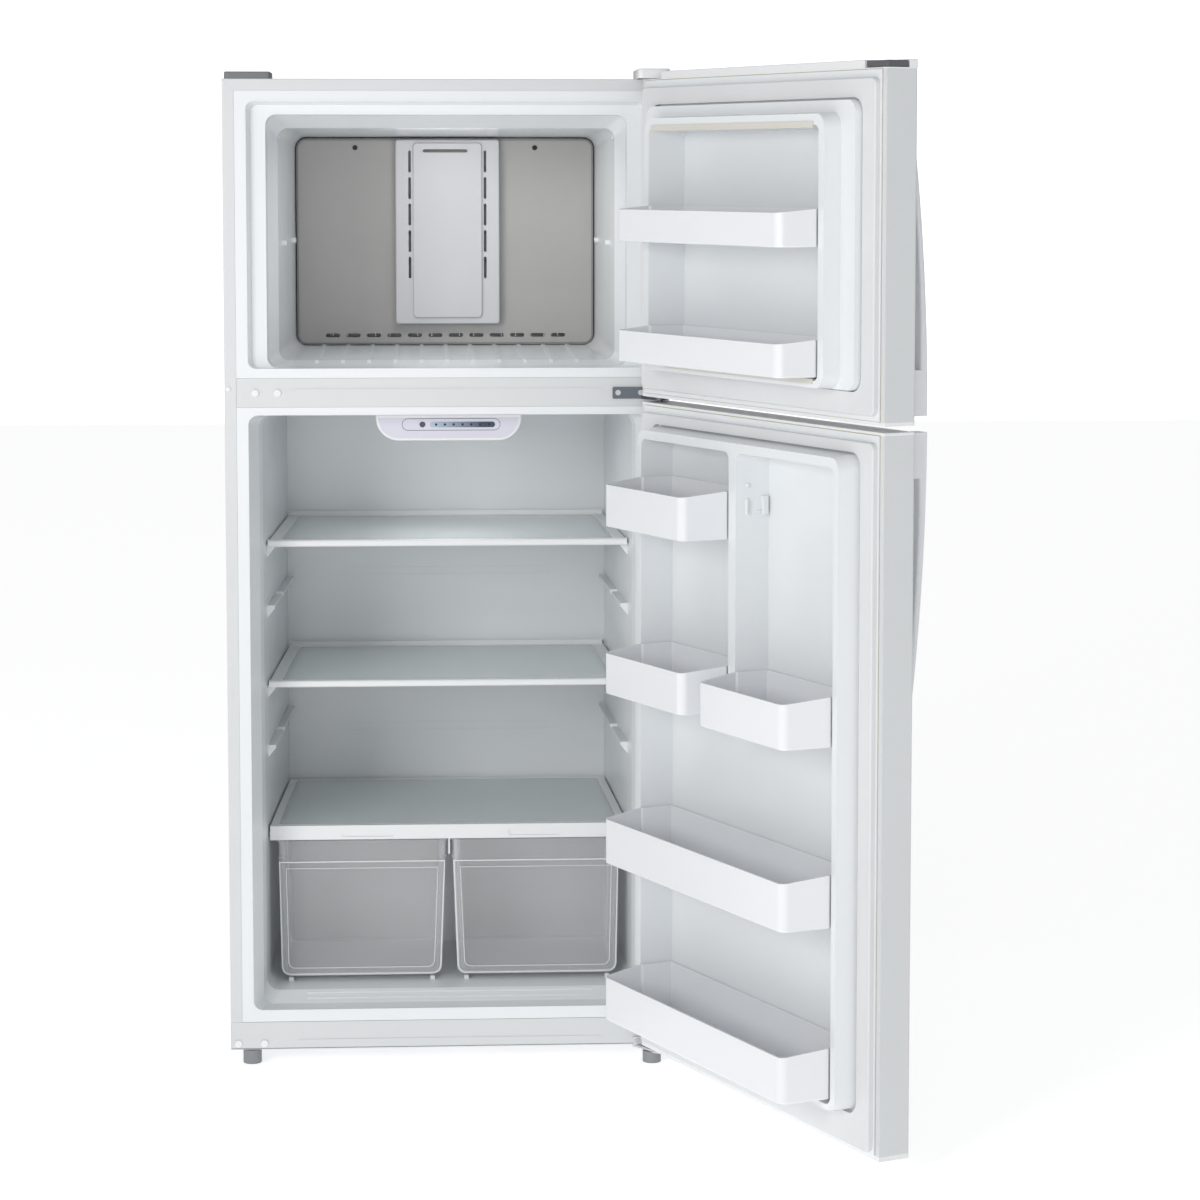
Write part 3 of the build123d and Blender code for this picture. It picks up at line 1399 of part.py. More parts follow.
def build_bin(crest_x, front_x, bottom, height, crest, front, slope):
    """Open bin with a sloping top edge and slots that drop over the two bosses."""
    back = pocket_floor + 2
    top = bottom + height
    with BuildPart() as tray:
        extrude(bin_outline(bottom, crest_x, front_x, crest, front, 0, back), amount=height)
        fillet(tray.faces().sort_by(Axis.Z)[0].edges(), 3)
        extrude(
            bin_outline(bottom + bin_wall, crest_x, front_x, crest, front, bin_wall, back),
            amount=height,
            mode=Mode.SUBTRACT,
        )
        with BuildSketch(section(door, crest_x[0] - 10)) as above:
            with BuildLine():
                Polyline(
                    (crest + 4, top),
                    (front + 5, top - slope),
                    (front + 5, top + 5),
                    (crest + 4, top + 5),
                    close=True,
                )
            make_face()
        extrude(above.sketch, amount=crest_x[1] - crest_x[0] + 20, mode=Mode.SUBTRACT)
        for end, inward in ((crest_x[0] + bin_tuck, 1), (crest_x[1] - bin_tuck, -1)):
            with BuildSketch(section(door, end - inward)) as slot:
                with Locations((boss_depth, boss_height(bottom))):
                    Circle(boss_radius + clearance)
                with Locations((boss_depth, (bottom + boss_height(bottom)) / 2)):
                    Rectangle(2 * (boss_radius + clearance), boss_height(bottom) - bottom)
            extrude(slot.sketch, amount=inward * 2.9, mode=Mode.SUBTRACT)
    return tray


for bin_name, crest_x, front_x, bottom, height in freezer_bins:
    tray = build_bin(crest_x, front_x, bottom, height, 38, 104, 6)
    tray.part.label = bin_name
    export_step(tray.part, f"parts/{bin_name}.step")

for bin_name, crest_x, front_x, bottom, height in fridge_bins:
    tray = build_bin(crest_x, front_x, bottom, height, 31, 114, 8)
    tray.part.label = bin_name
    export_step(tray.part, f"parts/{bin_name}.step")

# ---------------------------------------------------------------- door foam
with BuildPart() as freezer_door_foam:
    low, high = freezer_door_bottom + cap_thickness, freezer_door_top - 2
    block(
        door,
        (-half_case + sheet, half_case - sheet),
        (door_front + sheet, door_back - sheet),
        (low, high),
        corner=3,
    )
    block(door, (-367.5, 367.5), (door_back - sheet - 0.5, door_back), (low + 2, high - 2))
    stage(door, freezer_base, freezer_shoulder, -door_wall - 0.1, -door_wall - 0.1)
    stage(door, freezer_dyke, freezer_crest, -door_wall - 0.1, -door_wall - 0.1)
    post(door, hinge_x, hinge_depth, (low, low + 12.6), hinge_pin + 4, Mode.SUBTRACT)
    post(door, hinge_x, hinge_depth, (high - 16, high), hinge_pin + 4, Mode.SUBTRACT)
    stage(door, freezer_pocket, freezer_pocket_floor, door_wall, -door_wall, Mode.SUBTRACT)
    add_bosses(freezer_bins, 0.6, Mode.SUBTRACT)
freezer_door_foam.part.label = "freezer_door_foam"
export_step(freezer_door_foam.part, "parts/freezer_door_foam.step")

with BuildPart() as fridge_door_foam:
    low, high = fridge_door_bottom + cap_thickness + 2, fridge_door_top - 4
    block(
        door,
        (-half_case + sheet, half_case - sheet),
        (door_front + sheet, door_back - sheet),
        (low, high),
        corner=3,
    )
    block(door, (-367.5, 367.5), (door_back - sheet - 0.5, door_back), (low + 2, high - 2))
    stage(door, fridge_base, fridge_crest, -door_wall - 0.1, -door_wall - 0.1)
    post(door, hinge_x, hinge_depth, (low, low + 12.6), hinge_pin + 4, Mode.SUBTRACT)
    post(door, hinge_x, hinge_depth, (high - 16, high), hinge_pin + 4, Mode.SUBTRACT)
    for x_range, z_range in fridge_pockets:
        pocket_block(
            fridge_pocket, fridge_pocket_floor, x_range, z_range, 6, door_wall, -door_wall, Mode.SUBTRACT
        )
    add_bosses(fridge_bins, 0.6, Mode.SUBTRACT)
fridge_door_foam.part.label = "fridge_door_foam"
export_step(fridge_door_foam.part, "parts/fridge_door_foam.step")
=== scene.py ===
# %% [markdown]
# # A refrigerator with the freezer on top, standing open
# This file gives finishes and small details to a refrigerator whose parts were already designed
# and measured.  The first step loads those parts.  They keep their places and shapes, so every
# later step can ask for a part's box instead of guessing where it stands.

# %% Load the refrigerator
import math

import bmesh
import bpy
from mathutils import Matrix, Vector


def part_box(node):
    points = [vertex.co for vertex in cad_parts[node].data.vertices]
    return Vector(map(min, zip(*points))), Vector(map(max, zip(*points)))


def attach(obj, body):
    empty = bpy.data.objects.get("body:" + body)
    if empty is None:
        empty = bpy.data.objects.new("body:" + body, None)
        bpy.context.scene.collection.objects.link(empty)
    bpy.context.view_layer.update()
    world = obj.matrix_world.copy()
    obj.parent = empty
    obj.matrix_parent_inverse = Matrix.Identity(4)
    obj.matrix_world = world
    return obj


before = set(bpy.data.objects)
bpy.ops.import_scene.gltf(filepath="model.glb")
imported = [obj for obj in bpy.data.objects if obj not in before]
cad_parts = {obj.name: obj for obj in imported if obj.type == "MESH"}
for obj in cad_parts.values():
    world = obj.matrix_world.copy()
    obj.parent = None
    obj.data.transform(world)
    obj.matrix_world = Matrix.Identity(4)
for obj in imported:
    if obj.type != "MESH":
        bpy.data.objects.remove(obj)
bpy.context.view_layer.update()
print("parts loaded:", len(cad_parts))

# %% [markdown]
# ## The camera
# A tall appliance is shown from a little above its middle with a long lens, so that its sides
# stay nearly parallel.  The lens is shifted down instead of tilting the camera further, the way a
# product photographer uses a shift lens, because that keeps upright edges upright.

# %% Place the camera
CASE_FRONT = -0.320
CAMERA_DISTANCE = 5.541
CAMERA_HEIGHT = 1.546
CAMERA_TILT = 4.933
CAMERA_TURN = 3.085

camera_data = bpy.data.cameras.new("camera")
camera_data.sensor_width = 36.0
camera_data.lens = 97.34
camera_data.shift_y = -0.125
camera_data.clip_end = 100.0
camera = bpy.data.objects.new("camera", camera_data)
camera.location = (-0.038, CASE_FRONT - CAMERA_DISTANCE, CAMERA_HEIGHT)
camera.rotation_euler = (math.radians(90 - CAMERA_TILT), 0.0, math.radians(-CAMERA_TURN))
bpy.context.scene.collection.objects.link(camera)
bpy.context.scene.camera = camera
print("camera height:", round(camera.location.z, 3))

# %% [markdown]
# ## The floor
# The floor is one large pale sheet with a little light of its own, as white studio paper has when
# it is lit from behind, so that it runs into the surround with hardly a line.

# %% Floor
FLOOR_REACH = 14.0
FLOOR_TONE = 0.93
FLOOR_GLOW = 0.53

floor_form = bmesh.new()
bmesh.ops.create_grid(floor_form, x_segments=1, y_segments=1, size=FLOOR_REACH)
floor_mesh = bpy.data.meshes.new("floor")
floor_form.to_mesh(floor_mesh)
floor_form.free()
floor = bpy.data.objects.new("floor", floor_mesh)
bpy.context.scene.collection.objects.link(floor)

floor_paint = bpy.data.materials.new("studio floor")
floor_paint.use_nodes = True
paper = floor_paint.node_tree.nodes["Principled BSDF"]
paper.inputs["Base Color"].default_value = (FLOOR_TONE, FLOOR_TONE, FLOOR_TONE, 1)
paper.inputs["Roughness"].default_value = 0.9
paper.inputs["Emission Color"].default_value = (1, 1, 1, 1)
paper.inputs["Emission Strength"].default_value = FLOOR_GLOW
floor_mesh.materials.append(floor_paint)

# %% [markdown]
# ## The surround and the lamps
# White goods are lit almost without shadows: a white surround gives an even base, and large
# soft boxes in front put light into the cabinet and let the folds and corners show.  The stronger
# box stands on the left, so the right-hand walls inside are the brighter ones.  The surround is
# brighter to the camera than it is as a light, which keeps the background white while the white
# enamel holds its tone.  A weak lamp near the top of each compartment lifts its back wall.

# %% Surround and soft boxes
SURROUND_AS_LIGHT = 0.47
SURROUND_TO_CAMERA = 1.25

surround = bpy.data.worlds.new("studio surround")
surround.use_nodes = True
backdrop = surround.node_tree.nodes["Background"]
backdrop.inputs["Color"].default_value = (0.99, 0.995, 1.0, 1)
light_kind = surround.node_tree.nodes.new("ShaderNodeLightPath")
brightness = surround.node_tree.nodes.new("ShaderNodeMapRange")
brightness.inputs["To Min"].default_value = SURROUND_AS_LIGHT
brightness.inputs["To Max"].default_value = SURROUND_TO_CAMERA
surround.node_tree.links.new(light_kind.outputs["Is Camera Ray"], brightness.inputs["Value"])
surround.node_tree.links.new(brightness.outputs["Result"], backdrop.inputs["Strength"])
bpy.context.scene.world = surround
bpy.context.scene.view_settings.view_transform = "Standard"


def soft_box(name, place, target, size, power, tint):
    """A square soft box that looks at a target."""
    light_data = bpy.data.lights.new(name, "AREA")
    light_data.shape = "SQUARE"
    light_data.size = size
    light_data.energy = power
    light_data.color = tint
    light = bpy.data.objects.new(name, light_data)
    light.location = place
    aim = Vector(target) - Vector(place)
    light.rotation_euler = aim.to_track_quat("-Z", "Y").to_euler()
    bpy.context.scene.collection.objects.link(light)
    print(name, "is", round(aim.length, 2), "m from its target")


soft_box("soft_box_left", (-2.6, -4.8, 2.1), (0.0, 0.0, 0.9), 1.6, 88, (1.0, 0.99, 0.975))
soft_box("soft_box_front", (-0.3, -6.4, 1.1), (0.0, 0.0, 0.9), 1.6, 24, (0.97, 0.985, 1.0))
soft_box("freezer_lamp", (0.0, -0.22, 1.615), (0.0, 0.0, 1.3), 0.18, 0.9, (1.0, 0.985, 0.95))
soft_box("fridge_lamp", (0.0, -0.10, 1.075), (0.05, 0.0, 0.5), 0.16, 0.3, (0.99, 0.99, 1.0))

# %% [markdown]
# ## Finishes
# Nearly everything on the refrigerator is paint or moulded plastic.  Up close neither is smooth:
# paint has a shallow orange peel and plastic carries the fine grain of its mould.  One recipe
# covers both.  It takes its pattern from Object coordinates, so the grain has a real size in
# metres and stays put when a door turns.  A second, broad pattern changes the gloss a little from
# place to place, because no real surface is polished evenly.


# %% The recipe for paint and plastic
def set_inputs(shader, **values):
    """Set sockets by their names, with underscores for spaces."""
    for key, value in values.items():
        shader.inputs[key.replace("_", " ")].default_value = value


def add_node(tree, kind, **settings):
    """Add a node and give it its settings."""
    node = tree.nodes.new(kind)
    for key, value in settings.items():
        setattr(node, key, value)
    return node


def principled(material):
    """The shader that a finish ends in."""
    return material.node_tree.nodes["Principled BSDF"]


def surface(
    name, colour, roughness, grain, relief, mottle=0.03, gloss_change=0.05, stretch=(1, 1, 1)
):
    """A finish with a fine grain, a faint change of tone and an uneven gloss."""
    material = bpy.data.materials.new(name)
    material.use_nodes = True
    tree = material.node_tree
    shader = principled(material)
    place = add_node(tree, "ShaderNodeTexCoord")
    mapping = add_node(tree, "ShaderNodeMapping")
    mapping.inputs["Scale"].default_value = stretch
    tree.links.new(place.outputs["Object"], mapping.inputs["Vector"])

    fine = add_node(tree, "ShaderNodeTexNoise")
    set_inputs(fine, Scale=grain, Detail=3.0, Roughness=0.55)
    tree.links.new(mapping.outputs["Vector"], fine.inputs["Vector"])
    bump = add_node(tree, "ShaderNodeBump")
    set_inputs(bump, Strength=0.6, Distance=relief)
    tree.links.new(fine.outputs["Fac"], bump.inputs["Height"])
    tree.links.new(bump.outputs["Normal"], shader.inputs["Normal"])

    broad = add_node(tree, "ShaderNodeTexNoise")
    set_inputs(broad, Scale=3.5, Detail=4.0, Roughness=0.6)
    tree.links.new(place.outputs["Object"], broad.inputs["Vector"])
    tone = add_node(tree, "ShaderNodeValToRGB")
    tone.color_ramp.elements[0].position = 0.3
    tone.color_ramp.elements[1].position = 0.7
    tone.color_ramp.elements[0].color = [max(c - mottle, 0) for c in colour] + [1]
    tone.color_ramp.elements[1].color = [min(c + mottle * 0.4, 1) for c in colour] + [1]
    tree.links.new(broad.outputs["Fac"], tone.inputs["Fac"])
    tree.links.new(tone.outputs["Color"], shader.inputs["Base Color"])
    gloss = add_node(tree, "ShaderNodeMapRange")
    set_inputs(gloss, To_Min=roughness - gloss_change, To_Max=roughness + gloss_change)
    tree.links.new(broad.outputs["Fac"], gloss.inputs["Value"])
    tree.links.new(gloss.outputs["Result"], shader.inputs["Roughness"])
    return material


# %% [markdown]
# ## Painted steel
# The cabinet and the door faces are steel with a baked white coat.  Its orange peel is coarser
# than the grain of the plastic beside it, and a clear coat gives it a harder shine.

# %% White enamel
PEBBLE_TONES = (0.645, 0.675)
PEBBLE_RELIEF = 0.0003
PEBBLE_GRAIN = 480

white_enamel = surface("white enamel", (0.635, 0.65, 0.66), 0.32, 620, 0.00012, 0.012)
set_inputs(principled(white_enamel), Coat_Weight=0.25, Coat_Roughness=0.18)

pebble = white_enamel.copy()
pebble.name = "pebbled door enamel"
pebble_ramp = pebble.node_tree.nodes["Color Ramp"].color_ramp
for step, tone in zip(pebble_ramp.elements, PEBBLE_TONES):
    step.color = (tone * 0.955, tone * 0.985, tone, 1)
pebble.node_tree.nodes["Bump"].inputs["Distance"].default_value = PEBBLE_RELIEF
pebble.node_tree.nodes["Noise Texture"].inputs["Scale"].default_value = PEBBLE_GRAIN
print("paint finishes:", white_enamel.name, "and", pebble.name)

# %% [markdown]
# ## Moulded plastics
# The liners are drawn from one sheet of white plastic and are fairly glossy.  The bins and the
# shelf frames are injection moulded and slightly cooler in tone.  The freezer's rear panel, the
# feet and the covers are grey or black and much duller.

# %% White, grey and black plastics
liner_plastic = surface("liner plastic", (0.765, 0.79, 0.81), 0.24, 900, 0.00004, 0.01)
bin_plastic = surface("bin plastic", (0.80, 0.815, 0.84), 0.22, 1100, 0.00002, 0.01)
trim_plastic = surface("trim plastic", (0.79, 0.80, 0.81), 0.36, 1300, 0.00004, 0.012)
handle_plastic = surface("handle plastic", (0.76, 0.78, 0.80), 0.40, 1000, 0.00008, 0.012)
cream_plastic = surface("cream plastic", (0.66, 0.64, 0.58), 0.45, 1200, 0.00004, 0.03)
panel_plastic = surface("rear panel plastic", (0.40, 0.395, 0.385), 0.42, 1000, 0.00006, 0.03)
duct_plastic = surface("duct cover plastic", (0.58, 0.585, 0.61), 0.36, 1200, 0.00004, 0.02)
foot_plastic = surface("foot plastic", (0.24, 0.25, 0.26), 0.5, 900, 0.0001, 0.03)
cap_plastic = surface("grey cap plastic", (0.16, 0.17, 0.18), 0.45, 1000, 0.00006, 0.02)
black_plastic = surface("black plastic", (0.02, 0.02, 0.022), 0.45, 900, 0.00008, 0.01)
lamp_plastic = surface("lamp plastic", (0.86, 0.86, 0.85), 0.3, 400, 0.0002, 0.01)
set_inputs(principled(lamp_plastic), Transmission_Weight=0.55)

# %% [markdown]
# ## Seals
# The seals are soft white vinyl.  They are dull and a little darker than the liner.  Real seals
# have fine lines along them from being pulled through a die; the finish here has an even grain
# instead.

# %% Seal and rubber
seal_vinyl = surface("seal vinyl", (0.70, 0.71, 0.72), 0.55, 500, 0.00012, 0.03)
black_rubber = surface("black rubber", (0.025, 0.025, 0.025), 0.7, 700, 0.0002, 0.01)

# %% [markdown]
# ## Bare and coated metals
# The hinges are plated steel, brushed along their length, so their grain is stretched in one
# direction.  The centre hinge is the dark one between the doors.  The compressor is black enamel
# and the condenser is copper tube.

# %% Metals
zinc_steel = surface(
    "zinc plated steel", (0.55, 0.56, 0.58), 0.36, 260, 0.00004, 0.05, 0.08, (1, 1, 14)
)
dark_steel = surface(
    "dark hinge steel", (0.13, 0.145, 0.165), 0.38, 300, 0.00005, 0.03, 0.08, (1, 1, 12)
)
back_steel = surface("rear sheet steel", (0.40, 0.41, 0.42), 0.42, 500, 0.0001, 0.03, 0.08)
copper_tube = surface("copper tube", (0.62, 0.30, 0.18), 0.32, 300, 0.00004, 0.08, 0.08)
black_enamel = surface("black enamel", (0.012, 0.012, 0.014), 0.28, 400, 0.0001, 0.005)
for metal in (zinc_steel, dark_steel, copper_tube):
    set_inputs(principled(metal), Metallic=1.0)
set_inputs(principled(back_steel), Metallic=0.4)

# %% [markdown]
# ## Screws
# The screws at the front are plated and the ones at the back of the freezer are black.  All of
# them are one part, so the finish changes with the distance from the front.

# %% Screws: plated in front, black inside the freezer
LAST_PLATED = 0.04
FIRST_BLACK = 0.06

screw_steel = surface("screw steel", (0.50, 0.51, 0.53), 0.36, 400, 0.00004, 0.03)
screw_tree = screw_steel.node_tree
screw_shader = principled(screw_steel)
screw_shader.inputs["Metallic"].default_value = 0.8
depth = add_node(screw_tree, "ShaderNodeSeparateXYZ")
inside = add_node(screw_tree, "ShaderNodeMapRange")
set_inputs(inside, From_Min=LAST_PLATED, From_Max=FIRST_BLACK)
darken = add_node(screw_tree, "ShaderNodeMix", data_type="RGBA")
mix_factor, mix_first, mix_second = darken.inputs[0], darken.inputs[6], darken.inputs[7]
mix_second.default_value = (0.02, 0.02, 0.022, 1)
screw_place = screw_tree.nodes["Texture Coordinate"]
screw_tree.links.new(screw_place.outputs["Object"], depth.inputs["Vector"])
screw_tree.links.new(depth.outputs["Y"], inside.inputs["Value"])
screw_tree.links.new(inside.outputs["Result"], mix_factor)
screw_tree.links.new(screw_tree.nodes["Color Ramp"].outputs["Color"], mix_first)
screw_tree.links.new(darken.outputs[2], screw_shader.inputs["Base Color"])

# %% [markdown]
# ## Foam
# The insulation is sealed inside the walls, but a section through the refrigerator shows it, so
# it gets the cells and the straw colour of rigid foam.

# %% Insulating foam
foam = surface("insulating foam", (0.72, 0.64, 0.42), 0.8, 260, 0.0008, 0.08)

# %% [markdown]
# ## Clear parts
# The drawers are clear polystyrene and the shelves are toughened glass.  Both are thin, so light
# goes straight through them, and they show by their edges and reflections.  A shader that bends
# light would lose most of it inside a closed drawer.  Letting the light pass straight, and making
# the finish more solid where it is seen edge on, keeps the drawers as bright as real ones.


# %% Glass and clear plastic
def clear_surface(name, tint, clearness, roughness, wave_scale, wave_relief):
    """A see-through finish that grows more solid where it is seen edge on."""
    material = bpy.data.materials.new(name)
    material.use_nodes = True
    tree = material.node_tree
    shader = principled(material)
    set_inputs(shader, Base_Color=(*tint, 1), Roughness=roughness, IOR=1.5)
    edge = add_node(tree, "ShaderNodeLayerWeight")
    edge.inputs["Blend"].default_value = 0.45
    solidity = add_node(tree, "ShaderNodeMapRange")
    set_inputs(solidity, To_Min=1 - clearness, To_Max=0.85)
    tree.links.new(edge.outputs["Facing"], solidity.inputs["Value"])
    tree.links.new(solidity.outputs["Result"], shader.inputs["Alpha"])
    place = add_node(tree, "ShaderNodeTexCoord")
    wave = add_node(tree, "ShaderNodeTexNoise")
    set_inputs(wave, Scale=wave_scale, Detail=2.0)
    bump = add_node(tree, "ShaderNodeBump")
    set_inputs(bump, Strength=0.3, Distance=wave_relief)
    tree.links.new(place.outputs["Object"], wave.inputs["Vector"])
    tree.links.new(wave.outputs["Fac"], bump.inputs["Height"])
    tree.links.new(bump.outputs["Normal"], shader.inputs["Normal"])
    return material


shelf_glass = clear_surface("shelf glass", (0.74, 0.80, 0.80), 0.80, 0.04, 6, 0.0002)
drawer_plastic = clear_surface("clear drawer plastic", (0.92, 0.935, 0.95), 0.88, 0.06, 5, 0.0001)
moulded_edge = clear_surface("moulded drawer edge", (0.95, 0.96, 0.97), 0.45, 0.12, 5, 0.0001)

# %% [markdown]
# ## Give every part its finish
# Each part of the refrigerator already has a material slot.  Putting a finish in that slot
# changes the looks and leaves the measured shape alone.

# %% Assign the finishes
finishes = {
    "outer_cabinet": white_enamel,
    "rear_panel": back_steel,
    "base_pan": zinc_steel,
    "cabinet_foam": foam,
    "freezer_liner": liner_plastic,
    "fridge_liner": liner_plastic,
    "mullion_rail": white_enamel,
    "toe_rail": white_enamel,
    "screw_plugs": trim_plastic,
    "spare_hinge_cap": cap_plastic,
    "top_hinge": zinc_steel,
    "hinge_cover": trim_plastic,
    "centre_hinge": dark_steel,
    "bottom_hinge": zinc_steel,
    "screws": screw_steel,
    "left_foot": foot_plastic,
    "right_foot": foot_plastic,
    "rear_rollers": black_plastic,
    "compressor": black_enamel,
    "compressor_grommets": black_rubber,
    "condenser_coil": copper_tube,
    "condenser_fan": black_plastic,
    "evaporator_fan": trim_plastic,
    "fan_motors": black_plastic,
    "machine_cover": black_plastic,
    "cord_gland": black_rubber,
    "evaporator_coil": zinc_steel,
    "freezer_rear_panel": panel_plastic,
    "freezer_duct_cover": duct_plastic,
    "control_housing": trim_plastic,
    "set_button": trim_plastic,
    "lamp_lens": lamp_plastic,
    "upper_shelf_frame": trim_plastic,
    "upper_shelf_glass": shelf_glass,
    "lower_shelf_frame": trim_plastic,
    "lower_shelf_glass": shelf_glass,
    "crisper_cover_frame": trim_plastic,
    "crisper_cover_glass": shelf_glass,
    "left_crisper": drawer_plastic,
    "right_crisper": drawer_plastic,
    "freezer_lip_strips": cream_plastic,
}
for door_name in ("freezer", "fridge"):
    finishes[f"{door_name}_door_skin"] = pebble
    finishes[f"{door_name}_door_caps"] = trim_plastic
    finishes[f"{door_name}_door_liner"] = liner_plastic
    finishes[f"{door_name}_door_foam"] = foam
    finishes[f"{door_name}_door_gasket"] = seal_vinyl
    finishes[f"{door_name}_door_handle"] = handle_plastic
for part_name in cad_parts:
    if part_name.endswith("_bin"):
        finishes[part_name] = bin_plastic
for part_name, finish in finishes.items():
    part = bpy.data.objects[part_name]
    for slot in part.material_slots:
        slot.material = finish
print("finishes given:", len(finishes), "of", len(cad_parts))

# %% [markdown]
# ## The control face
# The temperature control has a pale lavender face with a lozenge printed on it in dark ink, and a
# row of small lamps in a strip that darkens to one side.  Ink is a few hundredths of a millimetre
# thick, but a thin solid plate shows the same edge and can't flicker against the face under it.
# Each lozenge starts as a circle: pulling its two halves apart makes it long, and an inset makes
# the line.  The face is filled between its outline and the hole for the button.

# %% Flat plates on the control face
MM = 0.001
RECESS_Y = CASE_FRONT + 60.6 * MM
ROUND_SEGMENTS = 48
STRIP_LEFT = -31 * MM
added_pieces = []


def finished_piece(form, name, body, finish):
    """Turn a bmesh into an object that rides on a body."""
    bmesh.ops.remove_doubles(form, verts=form.verts, dist=1e-7)
    bmesh.ops.recalc_face_normals(form, faces=form.faces)
    mesh = bpy.data.meshes.new(name)
    form.to_mesh(mesh)
    form.free()
    mesh.materials.append(finish)
    piece = bpy.data.objects.new(name, mesh)
    bpy.context.scene.collection.objects.link(piece)
    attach(piece, body)
    added_pieces.append(piece)


def flat_sheet(x_range, z_range):
    """A flat rectangle that faces the viewer."""
    form = bmesh.new()
    bmesh.ops.create_grid(form, x_segments=1, y_segments=1, size=0.5)
    for vert in form.verts:
        vert.co = (x_range[vert.co.x > 0], 0, z_range[vert.co.y > 0])
    return form


def round_off(form, geom, offset, segments, affect):
    """Bevel some edges or corners with a plain round."""
    bmesh.ops.bevel(
        form, geom=geom, offset=offset, segments=segments, profile=0.5, affect=affect, material=-1
    )


def leave_ring(form, line):
    """Keep only a line along the rim of a flat face."""
    bmesh.ops.inset_region(form, faces=form.faces, thickness=line, use_boundary=True)
    middle = max(form.faces, key=lambda face: face.calc_area())
    bmesh.ops.delete(form, geom=[middle], context="FACES")


def thicken(form, thickness):
    """Give flat faces a thickness towards the viewer."""
    made = bmesh.ops.extrude_face_region(form, geom=list(form.faces))
    lifted = [part for part in made["geom"] if isinstance(part, bmesh.types.BMVert)]
    bmesh.ops.translate(form, verts=lifted, vec=(0, -thickness, 0))


def lozenge(x_range, z_range, y, line=None, thickness=0.3 * MM):
    """A plate with round ends that faces the viewer, or only its outline."""
    radius = (z_range[1] - z_range[0]) / 2
    reach = (x_range[1] - x_range[0]) / 2 - radius
    form = bmesh.new()
    half_step = math.radians(180 / ROUND_SEGMENTS)
    turn = Matrix.Rotation(math.radians(90), 4, "X") @ Matrix.Rotation(half_step, 4, "Z")
    bmesh.ops.create_circle(
        form, cap_ends=True, segments=ROUND_SEGMENTS, radius=radius, matrix=turn
    )
    for vert in form.verts:
        vert.co.x += math.copysign(reach, vert.co.x)
    if line:
        leave_ring(form, line)
    thicken(form, thickness)
    centre = (sum(x_range) / 2, y, sum(z_range) / 2)
    bmesh.ops.translate(form, verts=form.verts, vec=centre)
    return form


def face_plate(x_range, z_range, corner, hole, hole_radius, y, thickness):
    """The face: square above, round below, with a hole for the button."""
    form = flat_sheet(x_range, z_range)
    low = [vert for vert in form.verts if vert.co.z < sum(z_range) / 2]
    round_off(form, low, corner, 12, "VERTICES")
    bmesh.ops.delete(form, geom=list(form.faces), context="FACES_ONLY")
    turn = Matrix.Translation((hole[0], 0, hole[1])) @ Matrix.Rotation(math.radians(90), 4, "X")
    bmesh.ops.create_circle(form, cap_ends=False, segments=40, radius=hole_radius, matrix=turn)
    bmesh.ops.triangle_fill(form, use_beauty=True, use_dissolve=False, edges=list(form.edges))
    thicken(form, thickness)
    bmesh.ops.translate(form, verts=form.verts, vec=(0, y, 0))
    return form


def strip_ink():
    """Ink that darkens from the left end of the lamp strip to the right."""
    material = surface("lamp strip ink", (0.05, 0.055, 0.07), 0.35, 1500, 0.00002, 0.01)
    tree = material.node_tree
    place = tree.nodes["Texture Coordinate"]
    apart = add_node(tree, "ShaderNodeSeparateXYZ")
    tree.links.new(place.outputs["Object"], apart.inputs["Vector"])
    across = add_node(tree, "ShaderNodeMapRange")
    set_inputs(across, From_Min=STRIP_LEFT, From_Max=60 * MM)
    tree.links.new(apart.outputs["X"], across.inputs["Value"])
    shade = tree.nodes["Color Ramp"]
    pale, dark = shade.color_ramp.elements
    pale.position, dark.position = 0.0, 1.0
    pale.color = (0.42, 0.50, 0.60, 1)
    dark.color = (0.02, 0.035, 0.075, 1)
    tree.links.new(across.outputs["Result"], shade.inputs["Fac"])
    return material


navy_ink = surface("navy ink", (0.045, 0.06, 0.11), 0.35, 1500, 0.00002, 0.01)
lavender_face = surface("control face plastic", (0.63, 0.62, 0.70), 0.32, 1200, 0.00003, 0.012)
button_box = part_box("set_button")
button_x = (button_box[0][0] + button_box[1][0]) / 2
button_z = (button_box[0][2] + button_box[1][2]) / 2
panel = face_plate(
    (-119.6 * MM, 123.6 * MM),
    (1083.9 * MM, 1119.4 * MM),
    33 * MM,
    (button_x, button_z),
    5.0 * MM,
    RECESS_Y,
    0.15 * MM,
)
finished_piece(panel, "control_face", "cabinet", lavender_face)
for slot in bpy.data.objects["set_button"].material_slots:
    slot.material = navy_ink
outline = lozenge((-79 * MM, 91 * MM), (1097 * MM, 1118 * MM), RECESS_Y, line=0.9 * MM)
finished_piece(outline, "control_outline", "cabinet", navy_ink)
window = lozenge((STRIP_LEFT, 82 * MM), (1102.4 * MM, 1112.2 * MM), RECESS_Y, thickness=0.5 * MM)
finished_piece(window, "lamp_strip", "cabinet", strip_ink())

# %% [markdown]
# ## The lamps
# Seven small lamps stand in a row in the strip.  Each is a flattened ball, half of it sunk in the
# strip.

# %% Seven lamps in the window
LAMP_COUNT = 7
LAMP_PITCH = 15.2
LAMP_RADIUS = 2.1 * MM
LAMP_FLATNESS = 0.35

